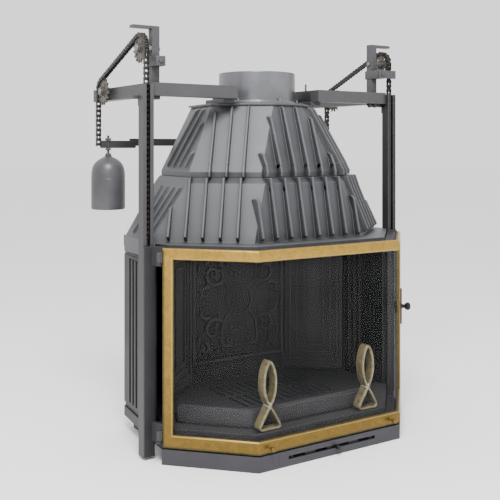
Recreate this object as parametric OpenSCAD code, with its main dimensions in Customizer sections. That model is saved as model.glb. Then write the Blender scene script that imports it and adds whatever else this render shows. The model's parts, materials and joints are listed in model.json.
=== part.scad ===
// Prismatic fireplace insert with a lifting, side-hinged glass door and two
// counterweights on roller chains. Millimetres, Z up, front towards -Y.
// The origin is on the floor, straight below the axis of the flue.

/* [Flue] */
// Bore of the flue collar
flue_d = 200; // [160:5:210]
// Wall of the flue collar
collar_wall = 4; // [3:0.5:7]
// Height of the flue collar above the hood
collar_h = 86; // [50:2:110]

/* [Door] */
// Width of the front facet of the door
front_w = 430; // [380:5:460]
// Length of each side facet of the door
facet_l = 233; // [215:1:250]
// Angle between the front facet and a side facet
facet_a = 46.5; // [43:0.5:49]
// Distance from the flue axis to the front of the door
front_y = 334; // [325:1:345]
// Height of the door
door_h = 468; // [430:2:500]
// Thickness of the door frame
door_t = 10; // [8:0.5:12]
// Height of the bottom rail of the door
rail_bottom = 33; // [26:1:40]
// Height of the top rail of the door
rail_top = 27; // [20:1:34]
// Width of the upright ends of the door
stile_w = 27; // [22:1:34]
// Thickness of the glass
glass_t = 5; // [4:0.5:6]
// Depth of the angle frame that carries the door
carrier_t = 20; // [16:1:22]
// Travel of the door, in links of the chain
lift_links = 30; // [20:2:30]

/* [Body] */
// Height of the base
base_h = 36; // [33:1:44]
// Wall of the base casting
base_wall = 8; // [6:0.5:10]
// Distance from the flue axis to the back of the body
back_y = 130; // [124:1:134]
// Wall of the outer casings
casing_t = 8; // [6:0.5:10]
// Half width of the back corner of the casing
back_x = 340; // [330:1:344]
// Height of the hearth ledge above the floor
ledge_z = 73; // [70:1:78]
// Height of the hearth floor above the ledge
floor_h = 21; // [18:1:24]
// Height of the log guard above the ledge
guard_h = 44; // [36:1:60]
// Thickness of the cast linings
lining_t = 11; // [9:0.5:13]
// Half width of the fireback
fireback_x = 153; // [140:1:165]
// Distance from the flue axis to the face of the fireback
fireback_y = 90; // [84:1:94]

/* [Hood] */
// Height of the lower hood above the door
hood_lower_h = 162; // [130:2:180]
// Height of the upper hood
hood_upper_h = 188; // [160:2:220]
// Wall of the hood castings
hood_wall = 6; // [5:0.5:8]
// Height of a cooling rib at its upper end
rib_h = 12; // [8:0.5:16]
// Height of a cooling rib at its foot
rib_foot_h = 19; // [12:0.5:24]
// Width of a cooling rib
rib_w = 6.5; // [5:0.5:9]
// Distance from one cooling rib to the next
rib_pitch = 42.6; // [38:0.2:48]

/* [Lifting gear] */
// Pitch of the roller chain
pitch = 12.7; // [12:0.1:13]
// Teeth of each sprocket
teeth = 16; // [14:2:18]
// Diameter of a chain roller
roller_d = 8; // [7:0.1:8.5]
// Height of a chain plate
plate_h = 10.4; // [9:0.2:11]
// Thickness of a chain plate
plate_t = 1.2; // [1:0.1:1.5]
// Gap between the inner plates of the chain
inner_w = 5.2; // [4.8:0.1:6]
// Width of the lifting columns
column_w = 28; // [27:0.5:32]
// Depth of the lifting columns
column_d = 26; // [24:0.5:30]
// Wall of the lifting columns
column_wall = 3; // [2.5:0.25:3.5]
// Links between the two sprockets of one side
span_links = 19; // [18:1:20]
// Links that hang behind the body
rear_links = 11; // [9:1:12]
// Height of the carrying arms
arm_h = 32; // [28:1:40]
// Width of the carrying arms
arm_w = 30; // [26:1:34]
// Side of the square posts
post_w = 20; // [18:1:24]
// Diameter of the sprocket axles
axle_d = 12; // [10:0.5:12]
// Radius of a counterweight
weight_r = 46; // [40:0.5:50]
// Height of a counterweight
weight_h = 148; // [120:2:170]

/* [Fits] */
// Gap between parts that slide on each other
gap = 0.3; // [0.3:0.05:0.5]
// Radial clearance of a pin or shaft in its hole
fit = 0.08; // [0.05:0.01:0.1]

/* [Hidden] */
$fn = 48;
sides = [-1, 1];

door_gap = 1.5;
door_z = base_h + door_gap;
door_top = door_z + door_h;
side_x = front_w / 2 + facet_l * cos(facet_a);
side_y = -front_y + facet_l * sin(facet_a);
step_t = 2;
edge_w = 3.5;
glass_lap = 8;
pane_d = door_t;
carrier_d = pane_d + glass_t + 1.5;
carrier_wall = 3;
carrier_rail = 22;
carrier_stile = 16;
body_d = carrier_d + carrier_t + 3;
lift = lift_links * pitch;

// Columns and chain
column_gap = 47;
column_x = side_x - 3.3 + column_w / 2;
column_y = side_y + column_gap + column_d / 2;
column_z = 6;
slot_w = 10;
chain_w = inner_w + 4 * plate_t;
pin_d = 3.6;
step_a = 360 / teeth;
sprocket_r = pitch / (2 * sin(step_a / 2));
turn_top = round(teeth * 5 / 16);
turn_rear = teeth / 2 - turn_top;
leave_a = 180 - turn_top * step_a;

// Heights of hood, arms and axles
casing_top = door_top - 38;
hood_z = door_top - 24;
flange_top = door_top + 5;
seam_z = door_top + hood_lower_h;
seam_lip = 12;
hood_top = seam_z + hood_upper_h;
foot_h = 10;
arm_z = hood_top + foot_h;
arm_top = arm_z + arm_h;
axle_cover = 2.5;
rear_axle_z = arm_top - axle_cover - axle_d / 2;
top_axle_z = rear_axle_z + span_links * pitch * sin(90 - leave_a);
top_axle_y = column_y + sprocket_r;
rear_axle_y = top_axle_y + span_links * pitch * cos(90 - leave_a);
column_top = arm_top - 5;
front_links = floor((top_axle_z - door_top - 6) / pitch);
front_pin_z = top_axle_z - front_links * pitch;
rear_chain_y = rear_axle_y + sprocket_r;
beam_z = rear_axle_z - rear_links * pitch;

// Carrying arms
arm_wall = 3;
arm_x1 = column_x - column_w / 2;
arm_x0 = arm_x1 - arm_w;
arm_y0 = column_y - 3;
arm_y1 = rear_chain_y + 68;
foot_x = flue_d / 2 + collar_wall + 25;
post_x = arm_x1 - 23;
post_top = top_axle_z + 48;
cap_t = 7;

// Firebox
casing_y = side_y + column_gap + 4;
casing_x = column_x - column_w / 2 - 1;
floor_z = ledge_z + floor_h;
lining_z = ledge_z;
lining_top = hood_z;
corner_in_x = 52;
corner_in_y = 109;
mouth_in_x = 35.4;
mouth_in_y = 35;
well_in_x = 13;
well_in_front = 169;
well_in_back = 50;
corner_x = back_x - corner_in_x;
corner_y = fireback_y - corner_in_y;
mouth_x = side_x - mouth_in_x;
mouth_y = side_y + mouth_in_y;
well_x = fireback_x - well_in_x;
well_y0 = well_in_front - front_y;
well_y1 = fireback_y - well_in_back;
guard_d = body_d + 42;
guard_t = 12;

// A point of the right side facet: d behind the door's face, s from its outer end
function facet_point(d, s) = [side_x - d * sin(facet_a) - s * cos(facet_a),
    side_y + d * cos(facet_a) - s * sin(facet_a)];
// The right front corner at depth d
function corner_point(d) = [front_w / 2 - d * tan(facet_a / 2), -front_y + d];
function flip(p) = [-p[0], p[1]];
function facet_line(d, s = 0) = [flip(facet_point(d, s)), flip(corner_point(d)),
    corner_point(d), facet_point(d, s)];
function backwards(list) = [for (i = [len(list) - 1:-1:0]) list[i]];
// A strip along the three facets, from depth d0 to depth d1
function band(d0, d1, s = 0) = concat(facet_line(d0, s), backwards(facet_line(d1, s)));

module band_part(d0, d1, z0, z1, s = 0) {
    translate([0, 0, z0])
        linear_extrude(z1 - z0)
            polygon(band(d0, d1, s));
}

// An upright strip at the outer end of a side facet
module stile(side, d0, d1, s0, s1, z0, z1) {
    pts = [facet_point(d0, s0), facet_point(d1, s0), facet_point(d1, s1), facet_point(d0, s1)];
    translate([0, 0, z0])
        linear_extrude(z1 - z0)
            polygon(side > 0 ? pts : [for (p = pts) flip(p)]);
}

// Moves a child drawn at the origin onto the facet, its +Z pointing out of the door
module on_facet(side, d, s, z) {
    p = facet_point(d, s);
    translate([side * p[0], p[1], z])
        rotate([0, 0, side * facet_a])
            rotate([90, 0, 0])
                children();
}

module box(x0, x1, y0, y1, z0, z1) {
    translate([x0, y0, z0])
        cube([x1 - x0, y1 - y0, z1 - z0]);
}

module side_box(side, x0, x1, y0, y1, z0, z1) {
    box(min(side * x0, side * x1), max(side * x0, side * x1), y0, y1, z0, z1);
}

module prism(points, z0, z1) {
    translate([0, 0, z0])
        linear_extrude(z1 - z0)
            polygon(points);
}

// Base

base_side = [[side_x - 45, side_y + 60], [back_x - 25, back_y - 14]];
base_lap = 9;
register_x = 160;
register_z0 = 5;
register_z1 = 32;
panel_t = 4;
slider_t = 3.4;
slot_x = 132;
slot_z0 = 16;
slot_z1 = 24;
window_w = 36;
window_step = 66;
window_count = 4;
slider_travel = 33;

module base_plan(d, inset) {
    polygon(concat(facet_line(d), [for (p = base_side) [p[0] - inset, p[1] - inset]],
        backwards([for (p = base_side) [inset - p[0], p[1] - inset]])));
}

module air_windows(y0, y1) {
    for (i = [0:window_count - 1]) {
        x = (i - (window_count - 1) / 2) * window_step;
        box(x - window_w / 2, x + window_w / 2, y0, y1, slot_z0, slot_z1);
    }
}

module base_tray() {
    pocket_t = panel_t + slider_t + 2 * gap;
    color("dimgray")
        difference() {
            linear_extrude(base_h)
                base_plan(0, 0);
            difference() {
                translate([0, 0, base_wall - 2])
                    linear_extrude(base_h)
                        base_plan(base_wall, base_wall);
                box(-register_x - base_wall, register_x + base_wall, -front_y,
                    -front_y + pocket_t + base_wall, 0, base_h);
            }
            box(-register_x, register_x, -front_y - 1, -front_y + pocket_t,
                register_z0, register_z1);
            air_windows(-front_y, -front_y + pocket_t + base_wall + 1);
        }
}

module air_register_panel() {
    color("dimgray")
        difference() {
            box(-register_x, register_x, -front_y, -front_y + panel_t, register_z0, register_z1);
            box(-slot_x, slot_x, -front_y - 1, -front_y + panel_t + 1, slot_z0, slot_z1);
        }
}

knob_x = 8;
module air_slider() {
    y0 = -front_y + panel_t + gap;
    half = (window_count - 1) / 2 * window_step + window_w / 2 + 5;
    color("gray") {
        difference() {
            box(-half, half, y0, y0 + slider_t, register_z0 + gap, slot_z1 + 4);
            air_windows(y0 - 1, y0 + slider_t + 1);
        }
        translate([knob_x, y0, (slot_z0 + slot_z1) / 2])
            rotate([90, 0, 0])
                rotate_extrude()
                    polygon([[0, 0], [3, 0], [3, 8], [5.5, 10], [6.5, 14], [5.5, 18], [0, 19]]);
    }
}

// Hearth

sole_t = 10;
sole_side = [for (p = base_side) p - [base_lap + 3, 0]];
sole_wide = [[mouth_x + lining_t - 0.5, mouth_y + 8], [corner_x + 22, corner_y + 19], sole_side[1]];

module sole_plan(d, side_line, inset) {
    polygon(concat(facet_line(d), [for (p = side_line) [p[0] - inset, p[1] - inset]],
        backwards([for (p = side_line) [inset - p[0], p[1] - inset]])));
}

module hearth_sole() {
    color([0.2, 0.2, 0.21])
        difference() {
            union() {
                translate([0, 0, base_h])
                    linear_extrude(ledge_z - base_h)
                        sole_plan(body_d, sole_side, 0);
                translate([0, 0, ledge_z - sole_t])
                    linear_extrude(sole_t)
                        sole_plan(body_d, sole_wide, 0);
            }
            translate([0, 0, base_h - 1])
                linear_extrude(ledge_z - sole_t - base_h + 1)
                    sole_plan(body_d + sole_t, sole_side, sole_t);
            box(-well_x, well_x, well_y0, well_y1, base_h, ledge_z + 1);
        }
}

rest_w = 10;
rest_h = 8;

module hearth_floor() {
    clear = 1;
    color([0.2, 0.2, 0.21])
        difference() {
            prism(concat(facet_line(guard_d + guard_t, 0),
                [[corner_x - clear, corner_y], [fireback_x - clear, fireback_y - clear]],
                [[clear - fireback_x, fireback_y - clear], [clear - corner_x, corner_y]]),
                ledge_z, floor_z);
            box(-well_x, well_x, well_y0, well_y1, ledge_z - 1, floor_z + 1);
            box(-well_x - rest_w, well_x + rest_w, well_y0 - rest_w, well_y1 + rest_w,
                floor_z - rest_h, floor_z + 1);
        }
}

grate_slot = 8;
grate_step = 22;
grate_rim = 15;
module fire_grate() {
    x1 = well_x + rest_w - 1;
    y0 = well_y0 - rest_w + 1;
    y1 = well_y1 + rest_w - 1;
    row = (y1 - y0 - 3 * grate_rim) / 2;
    count = floor((x1 - grate_rim + 1) / grate_step);
    color([0.22, 0.22, 0.23])
        difference() {
            box(-x1, x1, y0, y1, floor_z - rest_h, floor_z);
            for (i = [-count:count], j = [0, 1]) {
                x = i * grate_step;
                y = y0 + grate_rim + j * (row + grate_rim);
                box(x - grate_slot / 2, x + grate_slot / 2, y, y + row,
                    floor_z - rest_h - 1, floor_z + 1);
            }
        }
}

pan_wall = 2;
pan_clear = 5;
module ash_pan() {
    x1 = well_x - pan_clear;
    y0 = well_y0 + pan_clear;
    y1 = well_y1 - pan_clear;
    z0 = base_wall - 2;
    z1 = floor_z - rest_h - 12;
    color("silver")
        difference() {
            box(-x1, x1, y0, y1, z0, z1);
            box(-x1 + pan_wall, x1 - pan_wall, y0 + pan_wall, y1 - pan_wall, z0 + pan_wall, z1 + 1);
        }
}

module log_guard() {
    color([0.24, 0.24, 0.25]) {
        band_part(guard_d, guard_d + guard_t, ledge_z, ledge_z + guard_h - 6, 12);
        band_part(guard_d + 2, guard_d + guard_t - 2, ledge_z + guard_h - 6, ledge_z + guard_h, 14);
    }
}

andiron_h = 166;
andiron_w = 64;
andiron_t = 6;
andiron_depth = 36;
cross_z = 60;
loop_half = 20;
loop_r = (pow((andiron_h - cross_z) / 2, 2) + pow(loop_half, 2)) / (2 * loop_half);

// One strap of the andiron: an arc that bulges to one side and runs on to the other foot
module andiron_strap(side) {
    mid = (andiron_h + cross_z) / 2;
    foot = andiron_w / 2 - andiron_t / 2;
    intersection() {
        translate([side * (loop_half - loop_r - andiron_t / 2), mid])
            difference() {
                circle(loop_r + andiron_t / 2, $fn = 96);
                circle(loop_r - andiron_t / 2, $fn = 96);
            }
        translate([side > 0 ? -andiron_t : -andiron_w, cross_z])
            square([andiron_w + andiron_t, andiron_h - cross_z]);
    }
    leg_a = atan2(cross_z - andiron_t / 2, foot);
    translate([-side * foot, andiron_t / 2])
        rotate(side > 0 ? leg_a : 180 - leg_a)
            translate([0, -andiron_t / 2])
                square([norm([foot, cross_z - andiron_t / 2]) + andiron_t, andiron_t]);
}

module andiron(side) {
    color([0.78, 0.72, 0.6])
        translate([side * (fireback_x + 5), -front_y + body_d + 2 + andiron_depth, ledge_z])
            rotate([90, 0, 0])
                linear_extrude(andiron_depth) {
                    for (hand = sides)
                        andiron_strap(hand);
                    for (hand = sides)
                        translate([hand * (andiron_w - andiron_t) / 2, andiron_t / 2])
                            circle(d = andiron_t);
                    translate([-(andiron_w - andiron_t) / 2, 0])
                        square([andiron_w - andiron_t, andiron_t]);
                }
}

module andiron_left() andiron(-1);
module andiron_right() andiron(1);

// Linings

relief = 4;

// A raised rectangular moulding on a plate that stands in the XZ plane, facing -Y
module moulding(x0, x1, z0, z1, w, h) {
    difference() {
        box(x0, x1, -h, 0, z0, z1);
        box(x0 + w, x1 - w, -h - 1, 1, z0 + w, z1 - w);
    }
}

module fireback() {
    z0 = floor_z;
    z1 = lining_top;
    band_h = 48;
    mid_z = (z0 + band_h + z1) / 2;
    color([0.17, 0.17, 0.18])
        translate([0, fireback_y, 0]) {
            box(-fireback_x, fireback_x, 0, lining_t, ledge_z, z1);
            moulding(-fireback_x, fireback_x, z0 + band_h, z1, 12, relief);
            translate([0, 0, mid_z])
                rotate([90, 0, 0]) {
                    linear_extrude(relief)
                        difference() {
                            circle(92);
                            circle(84);
                        }
                    linear_extrude(relief + 3)
                        circle(20);
                    for (i = [0:9])
                        rotate(i * 36)
                            translate([50, 0, 0])
                                linear_extrude(relief)
                                    intersection() {
                                        translate([0, 22])
                                            circle(34);
                                        translate([0, -22])
                                            circle(34);
                                    }
                }
        }
}

// The diagonal lining between the fireback and a side lining
module corner_lining(side) {
    dx = corner_x - fireback_x;
    dy = fireback_y - corner_y;
    l = norm([dx, dy]);
    a = atan2(-dy, dx);
    inset = 4;
    color([0.19, 0.19, 0.2])
        mirror([side < 0 ? 1 : 0, 0, 0])
            translate([fireback_x, fireback_y, 0])
                rotate([0, 0, a]) {
                    box(inset, l - inset, 0, lining_t, lining_z, lining_top);
                    for (i = [0:2]) {
                        d = 16 + i * 20;
                        moulding(d, l - d, floor_z + 14 + d, lining_top - d, 5, relief);
                    }
                }
}

module corner_lining_left() corner_lining(-1);
module corner_lining_right() corner_lining(1);

module side_lining(side) {
    dx = mouth_x - corner_x;
    dy = mouth_y - corner_y;
    l = norm([dx, dy]);
    a = atan2(dy, dx);
    flute = 5;
    color([0.18, 0.18, 0.19])
        mirror([side < 0 ? 1 : 0, 0, 0])
            translate([corner_x, corner_y, 0])
                rotate([0, 0, a])
                    difference() {
                        box(2, l, 0, lining_t, lining_z, lining_top);
                        for (i = [0:2])
                            box(18 + i * 16, 18 + i * 16 + flute, -1, 3, floor_z + 20, lining_top - 20);
                    }
}

module side_lining_left() side_lining(-1);
module side_lining_right() side_lining(1);

// Outer casings

module back_casing() {
    x1 = back_x - casing_t - 3;
    color([0.3, 0.3, 0.31]) {
        box(-x1, x1, back_y - casing_t, back_y, base_h, casing_top);
        for (i = [-4:4])
            box(i * 70 - 5, i * 70 + 5, back_y, back_y + 4, base_h + 30, casing_top - 20);
    }
}

// The outline of a side casing, with its outer face set in
function casing_wall(inset) = [[casing_x - inset, casing_y], [back_x - inset, back_y - 10],
    [back_x - 10, back_y - inset], [back_x - casing_t - 3, back_y - inset],
    [back_x - casing_t - 3, back_y - casing_t], [back_x - casing_t, back_y - casing_t - 4],
    [casing_x - casing_t, casing_y]];
flute_pitch = 26;
flute_w = 12;
flute_t = 3;
foot_z = ledge_z - sole_t - 2;
foot_t = 8;
foot_step = 12;

module side_casing(side) {
    slope_a = atan2(casing_x - back_x, back_y - 10 - casing_y);
    length = norm([casing_x - back_x, back_y - 10 - casing_y]);
    color([0.33, 0.33, 0.34])
        mirror([side < 0 ? 1 : 0, 0, 0]) {
            prism(casing_wall(0), foot_z + foot_step, casing_top - 6);
            prism(casing_wall(2.5), casing_top - 6, casing_top);
            prism(casing_wall(4), foot_z, foot_z + foot_step);
            prism(casing_wall(0), base_h, foot_z);
            prism([[casing_x - casing_t, casing_y], [back_x - casing_t, back_y - casing_t - 4],
                [back_x - casing_t - 3, back_y - casing_t], [base_side[1][0] - base_lap, back_y - casing_t],
                base_side[0] + [-base_lap, 2], [base_side[0][0] + 6, casing_y]], base_h, base_h + foot_t);
            translate([casing_x, casing_y, 0])
                rotate([0, 0, slope_a])
                    for (i = [2:floor((length - 30) / flute_pitch)])
                        box(-1, flute_t, i * flute_pitch, i * flute_pitch + flute_w,
                            foot_z + 22, casing_top - 14);
            for (z = [foot_z + 20, casing_top - 50])
                box(casing_x - casing_t / 2, column_x - column_w / 2, column_y - 8, column_y + 8, z, z + 24);
        }
}

module side_casing_left() side_casing(-1);
module side_casing_right() side_casing(1);

// Hood

// Half plan of the hood: front corner, side corner, back corner
function hood_side(i) = [[casing_x - 9 - i, casing_y + 10], [back_x - 2 - i, back_y - 2 - i]];
function hood_back(i) = [for (p = backwards(hood_side(i))) flip(p)];
neck_t = 11;
skirt_t = 12;
flange_t = 5;
shoulder_h = 16;

hood_foot = [corner_point(body_d) + [-32, 54], hood_side(1)[0] + [-2, 32], hood_side(0)[1] - [7, 0]];
hood_shoulder = [hood_foot[0] + [-46, 24], hood_foot[1] + [-92, -17], hood_foot[2] + [-86, -3]];
hood_rim = [hood_shoulder[0] + [-3, 19.5], hood_shoulder[1] + [-10, 14], hood_shoulder[2] - [11, 2]];
hood_seam = [hood_rim[0] + [-2, 3], hood_rim[1] + [-4, 1], hood_rim[2] - [4, 2]];
hood_crown = [[flue_d / 2 - 58, -flue_d / 2 - 41.5], [flue_d / 2 + 63, 63.5 - flue_d / 2],
    [flue_d / 2 + 38, back_y - 14]];
brim_t = 5;
hood_brim = [hood_crown[0] + [3, -7], hood_crown[1] + [7, -3], hood_crown[2] + [8, 6]];

function ring(half, z) = [for (p = half) [p[0], p[1], z]];
function full_ring(half, z) = concat(ring(half, z),
    [for (p = backwards(half)) [-p[0], p[1], z]]);
function shrink(half, t) = [[half[0][0] - 0.41 * t, half[0][1] + t],
    [half[1][0] - t, half[1][1] + 0.41 * t], [half[2][0] - t, half[2][1] - t]];

// A solid through stacked rings of equal length
module loft(rings) {
    n = len(rings[0]);
    m = len(rings);
    polyhedron(points = [for (r = rings) each r],
        faces = concat([[for (i = [0:n - 1]) i]],
            [for (k = [0:m - 2], i = [0:n - 1])
                [k * n + i, (k + 1) * n + (i + 1) % n, k * n + (i + 1) % n]],
            [for (k = [0:m - 2], i = [0:n - 1])
                [k * n + i, (k + 1) * n + i, (k + 1) * n + (i + 1) % n]],
            [[for (i = [0:n - 1]) m * n - 1 - i]]));
}

function mix(a, b, t) = a * (1 - t) + b * t;

// A point on a facet: u along its width, v up its height
function on_wall(a0, b0, a1, b1, z0, z1, u, v) =
    let (low = mix(a0, b0, u), high = mix(a1, b1, u), p = mix(low, high, v))
    [p[0], p[1], mix(z0, z1, v)];

// A rib from one point of a sloping wall to another: h0 and h1 are its heights at the two ends,
// and both ends slope down to the wall
rib_root = 24;
rib_nose = 9;
module rib(from, to, out, h0, h1) {
    along = (to - from) / norm(to - from);
    across = cross(along, out) * rib_w / 2;
    stations = [[from, h0 * 0.45], [from + rib_nose * along / 2, h0], [to - rib_nose * along, h1],
        [to, h1 * 0.2]];
    polyhedron(points = [for (e = stations) each [
            e[0] - rib_root * out - across, e[0] + (e[1] - 2) * out - across,
            e[0] + e[1] * out - across * 0.5, e[0] + e[1] * out + across * 0.5,
            e[0] + (e[1] - 2) * out + across, e[0] - rib_root * out + across]],
        faces = concat([[0, 1, 5], [1, 4, 5], [1, 2, 4], [2, 3, 4]],
            [[18, 23, 19], [19, 23, 22], [19, 22, 20], [20, 22, 21]],
            [for (k = [0:2], i = [0:5]) [6 * k + i, 6 * k + i + 6, 6 * k + (i + 1) % 6 + 6]],
            [for (k = [0:2], i = [0:5]) [6 * k + i, 6 * k + (i + 1) % 6 + 6, 6 * k + (i + 1) % 6]]));
}

// Ribs up the slope of one facet from a to b, whose wall leans in to the line from a1 to b1.
// Each entry is [distance from a, v at the foot, v at the top, slant towards a]
module ribs(a, b, a1, b1, z0, z1, list, h0, h1) {
    along = (b - a) / norm(b - a);
    inward = [-along[1], along[0]] * ((a1 - a) * [-along[1], along[0]]);
    rise = [inward[0], inward[1], z1 - z0];
    out = cross([along[0], along[1], 0], rise) / norm(rise);
    for (e = list) {
        foot = [a[0], a[1], z0] + e[0] * [along[0], along[1], 0];
        lean = -e[3] * [along[0], along[1], 0];
        rib(foot + e[1] * (rise + lean), foot + e[2] * (rise + lean), out, h0, h1);
    }
}

// Ribs of the lower casting: front, diagonals and flanks
front_ribs_lower = [for (i = [-3.5:3.5])
    [i * rib_pitch, 0.03, abs(i) > 3 ? 0.75 : 0.97, 0]];
diagonal_ribs_lower = [for (i = [0:4]) [rib_pitch * (i + 0.93), 0.03, i == 4 ? 0.6 : 0.97, 0]];
side_ribs_lower = [for (i = [0:3]) [rib_pitch * (i + 0.6), 0.05, 0.95, 8]];

// Ribs of the upper casting
front_ribs_upper = [for (i = [-2.5:2.5])
    [i * rib_pitch, 0.04, abs(i) > 2 ? 0.27 : abs(i) > 1 ? 0.8 : 0.96, 0]];
diagonal_ribs_upper = [for (i = [0:2]) [rib_pitch * (i + 1), 0.04, i == 2 ? 0.87 : 0.96, 0]];
side_ribs_upper = [for (i = [0:3]) [rib_pitch * (i + 0.8), 0.05, min(0.94, 0.3 + 0.42 * i), 40]];

flank_rib_h = 6;

// All the ribs of one hood casting, from a lower ring to an upper ring
module hood_ribs(low, high, z0, z1, front, diagonal, flank) {
    ribs([0, low[0][1]], low[0], [0, high[0][1]], high[0], z0, z1, front, rib_foot_h, rib_h);
    for (side = [0, 1])
        mirror([side, 0, 0]) {
            ribs(low[0], low[1], high[0], high[1], z0, z1, diagonal, rib_foot_h, rib_h);
            ribs(low[1], low[2], high[1], high[2], z0, z1, flank, flank_rib_h, flank_rib_h + 1);
        }
}

module hood_lower() {
    color([0.5, 0.51, 0.53]) {
        difference() {
            union() {
                loft([full_ring(hood_foot, flange_top), full_ring(hood_shoulder, seam_z - shoulder_h),
                    full_ring(hood_rim, seam_z - 2)]);
                prism(concat(facet_line(body_d, 0), hood_side(0), hood_back(0)), hood_z, flange_top);
                difference() {
                    prism(concat(hood_side(1), hood_back(1)), casing_top, hood_z);
                    prism([for (p = concat(hood_side(1 + neck_t), hood_back(1 + neck_t)))
                        p[1] < 0 ? p - [0, 30] : p], casing_top - 1, hood_z + 1);
                }
                hood_ribs(hood_foot, hood_shoulder, flange_top, seam_z - shoulder_h,
                    front_ribs_lower, diagonal_ribs_lower, side_ribs_lower);
            }
            loft([full_ring(shrink(hood_foot, hood_wall), flange_top - 6),
                full_ring(shrink(hood_shoulder, hood_wall), seam_z - shoulder_h),
                full_ring(shrink(hood_rim, hood_wall + 8), seam_z)]);
            prism(concat(facet_line(body_d + skirt_t, 0), hood_side(skirt_t + 2), hood_back(skirt_t + 2)),
                hood_z - 1, flange_top - flange_t);
        }
    }
}

module hood_upper() {
    color([0.5, 0.51, 0.53]) {
        difference() {
            union() {
                loft([full_ring(hood_seam, seam_z - 2), full_ring(hood_seam, seam_z + seam_lip),
                    full_ring(hood_crown, hood_top)]);
                prism(concat(hood_brim, [for (p = backwards(hood_brim)) flip(p)]),
                    hood_top - brim_t, hood_top);
                intersection() {
                    hood_ribs(hood_seam, hood_crown, seam_z + seam_lip, hood_top,
                        front_ribs_upper, diagonal_ribs_upper, side_ribs_upper);
                    box(-casing_x, casing_x, -front_y, back_y, seam_z, hood_top - 1);
                }
            }
            loft([full_ring(shrink(hood_seam, hood_wall + 8), seam_z - 3),
                full_ring(shrink(hood_seam, hood_wall + 6), seam_z + seam_lip),
                full_ring(shrink(hood_crown, hood_wall + 2), hood_top - hood_wall)]);
            cylinder(h = hood_top + 1, d = flue_d - 20, $fn = 96);
        }
    }
}

collar_flange = 10.5;
module flue_collar() {
    r = flue_d / 2;
    color([0.5, 0.51, 0.53])
        translate([0, 0, hood_top])
            rotate_extrude($fn = 128)
                polygon([[r, 0], [r + collar_wall + collar_flange, 0], [r + collar_wall + collar_flange, 6],
                    [r + collar_wall + 2, 6], [r + collar_wall, 9], [r + collar_wall, collar_h - 1],
                    [r + collar_wall - 1, collar_h], [r, collar_h]]);
}

module stud(r, h) {
    linear_extrude(h)
        circle(r, $fn = 6);
    cylinder(h = h + 5, r = r * 0.5);
}

module hood_studs() {
    color("darkgray") {
        for (a = [30:60:330])
            rotate([0, 0, a])
                translate([flue_d / 2 + collar_wall + 5.8, 0, hood_top + 6])
                    stud(3.4, 5);
    }
}

// Columns and arms

module column(side) {
    w = column_w;
    d = column_d;
    t = column_wall;
    color([0.42, 0.42, 0.43])
        translate([side * column_x, column_y, column_z])
            difference() {
                linear_extrude(column_top - column_z)
                    square([w, d], center = true);
                translate([0, 0, -1])
                    linear_extrude(column_top - column_z + 2) {
                        square([w - 2 * t, d - 2 * t], center = true);
                        translate([-slot_w / 2, -d / 2 - 1])
                            square([slot_w, d / 2]);
                    }
            }
}

module column_left() column(-1);
module column_right() column(1);

bracket_t = 8;
module column_bracket(side) {
    y0 = column_y + column_d / 2;
    color([0.25, 0.25, 0.26])
        mirror([side < 0 ? 1 : 0, 0, 0]) {
            box(arm_x0, column_x + column_w / 2 + 14, y0, y0 + 26, arm_z - bracket_t, arm_z);
            box(column_x - column_w / 2, column_x + column_w / 2, y0, y0 + 4, arm_z - 26, arm_z - bracket_t);
        }
}

module column_bracket_left() column_bracket(-1);
module column_bracket_right() column_bracket(1);

module cross_arm(side) {
    w = arm_wall;
    y0 = arm_y0;
    y1 = arm_y0 + arm_w;
    foot_y = y0 + 120;
    color([0.4, 0.4, 0.41])
        mirror([side < 0 ? 1 : 0, 0, 0]) {
            difference() {
                box(foot_x, arm_x0, y0, y1, arm_z, arm_top);
                box(foot_x + 5, arm_x0 + 1, y0 + w, y1 - w, arm_z + w, arm_top - w);
            }
            box(foot_x, foot_x + 5, y1, foot_y, arm_z, arm_top);
            box(foot_x - 5, foot_x + 26, y0 + 26, foot_y, hood_top, arm_z);
        }
}

module cross_arm_left() cross_arm(-1);
module cross_arm_right() cross_arm(1);

module across(side, x0, x1, y, z, r) {
    translate([side > 0 ? x0 : -x1, y, z])
        rotate([0, 90, 0])
            cylinder(h = x1 - x0, r = r);
}

module rear_arm(side) {
    w = arm_wall;
    color([0.4, 0.4, 0.41])
        difference() {
            side_box(side, arm_x0, arm_x1, arm_y0, arm_y1, arm_z, arm_top);
            side_box(side, arm_x0 + w, arm_x1 - w, arm_y0 + w, arm_y1 - w, arm_z + w, arm_top - 1);
            across(side, arm_x0 - 1, arm_x1 + 1, rear_axle_y, rear_axle_z, axle_d / 2);
        }
}

module rear_arm_left() rear_arm(-1);
module rear_arm_right() rear_arm(1);

module post(side) {
    color([0.38, 0.38, 0.39])
        difference() {
            union() {
                side_box(side, post_x - post_w / 2, post_x + post_w / 2, top_axle_y - post_w / 2,
                    top_axle_y + post_w / 2, arm_top, post_top);
                side_box(side, post_x - post_w / 2, column_x + 24, top_axle_y - post_w / 2,
                    top_axle_y + post_w / 2, post_top, post_top + cap_t);
            }
            across(side, post_x - post_w, post_x + post_w, top_axle_y, top_axle_z, axle_d / 2);
        }
}

module post_left() post(-1);
module post_right() post(1);

// A clamp round the post that steadies the chain run
module guide_block(side) {
    z0 = arm_top + 40;
    h = 24;
    half = post_w / 2;
    color([0.45, 0.45, 0.46])
        difference() {
            side_box(side, post_x - half - 18, column_x - chain_w / 2 - 4, top_axle_y - half - 6,
                top_axle_y + half + 6, z0, z0 + h);
            side_box(side, post_x - half, post_x + half, top_axle_y - half, top_axle_y + half,
                z0 - 1, z0 + h + 1);
        }
}

module guide_block_left() guide_block(-1);
module guide_block_right() guide_block(1);

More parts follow.
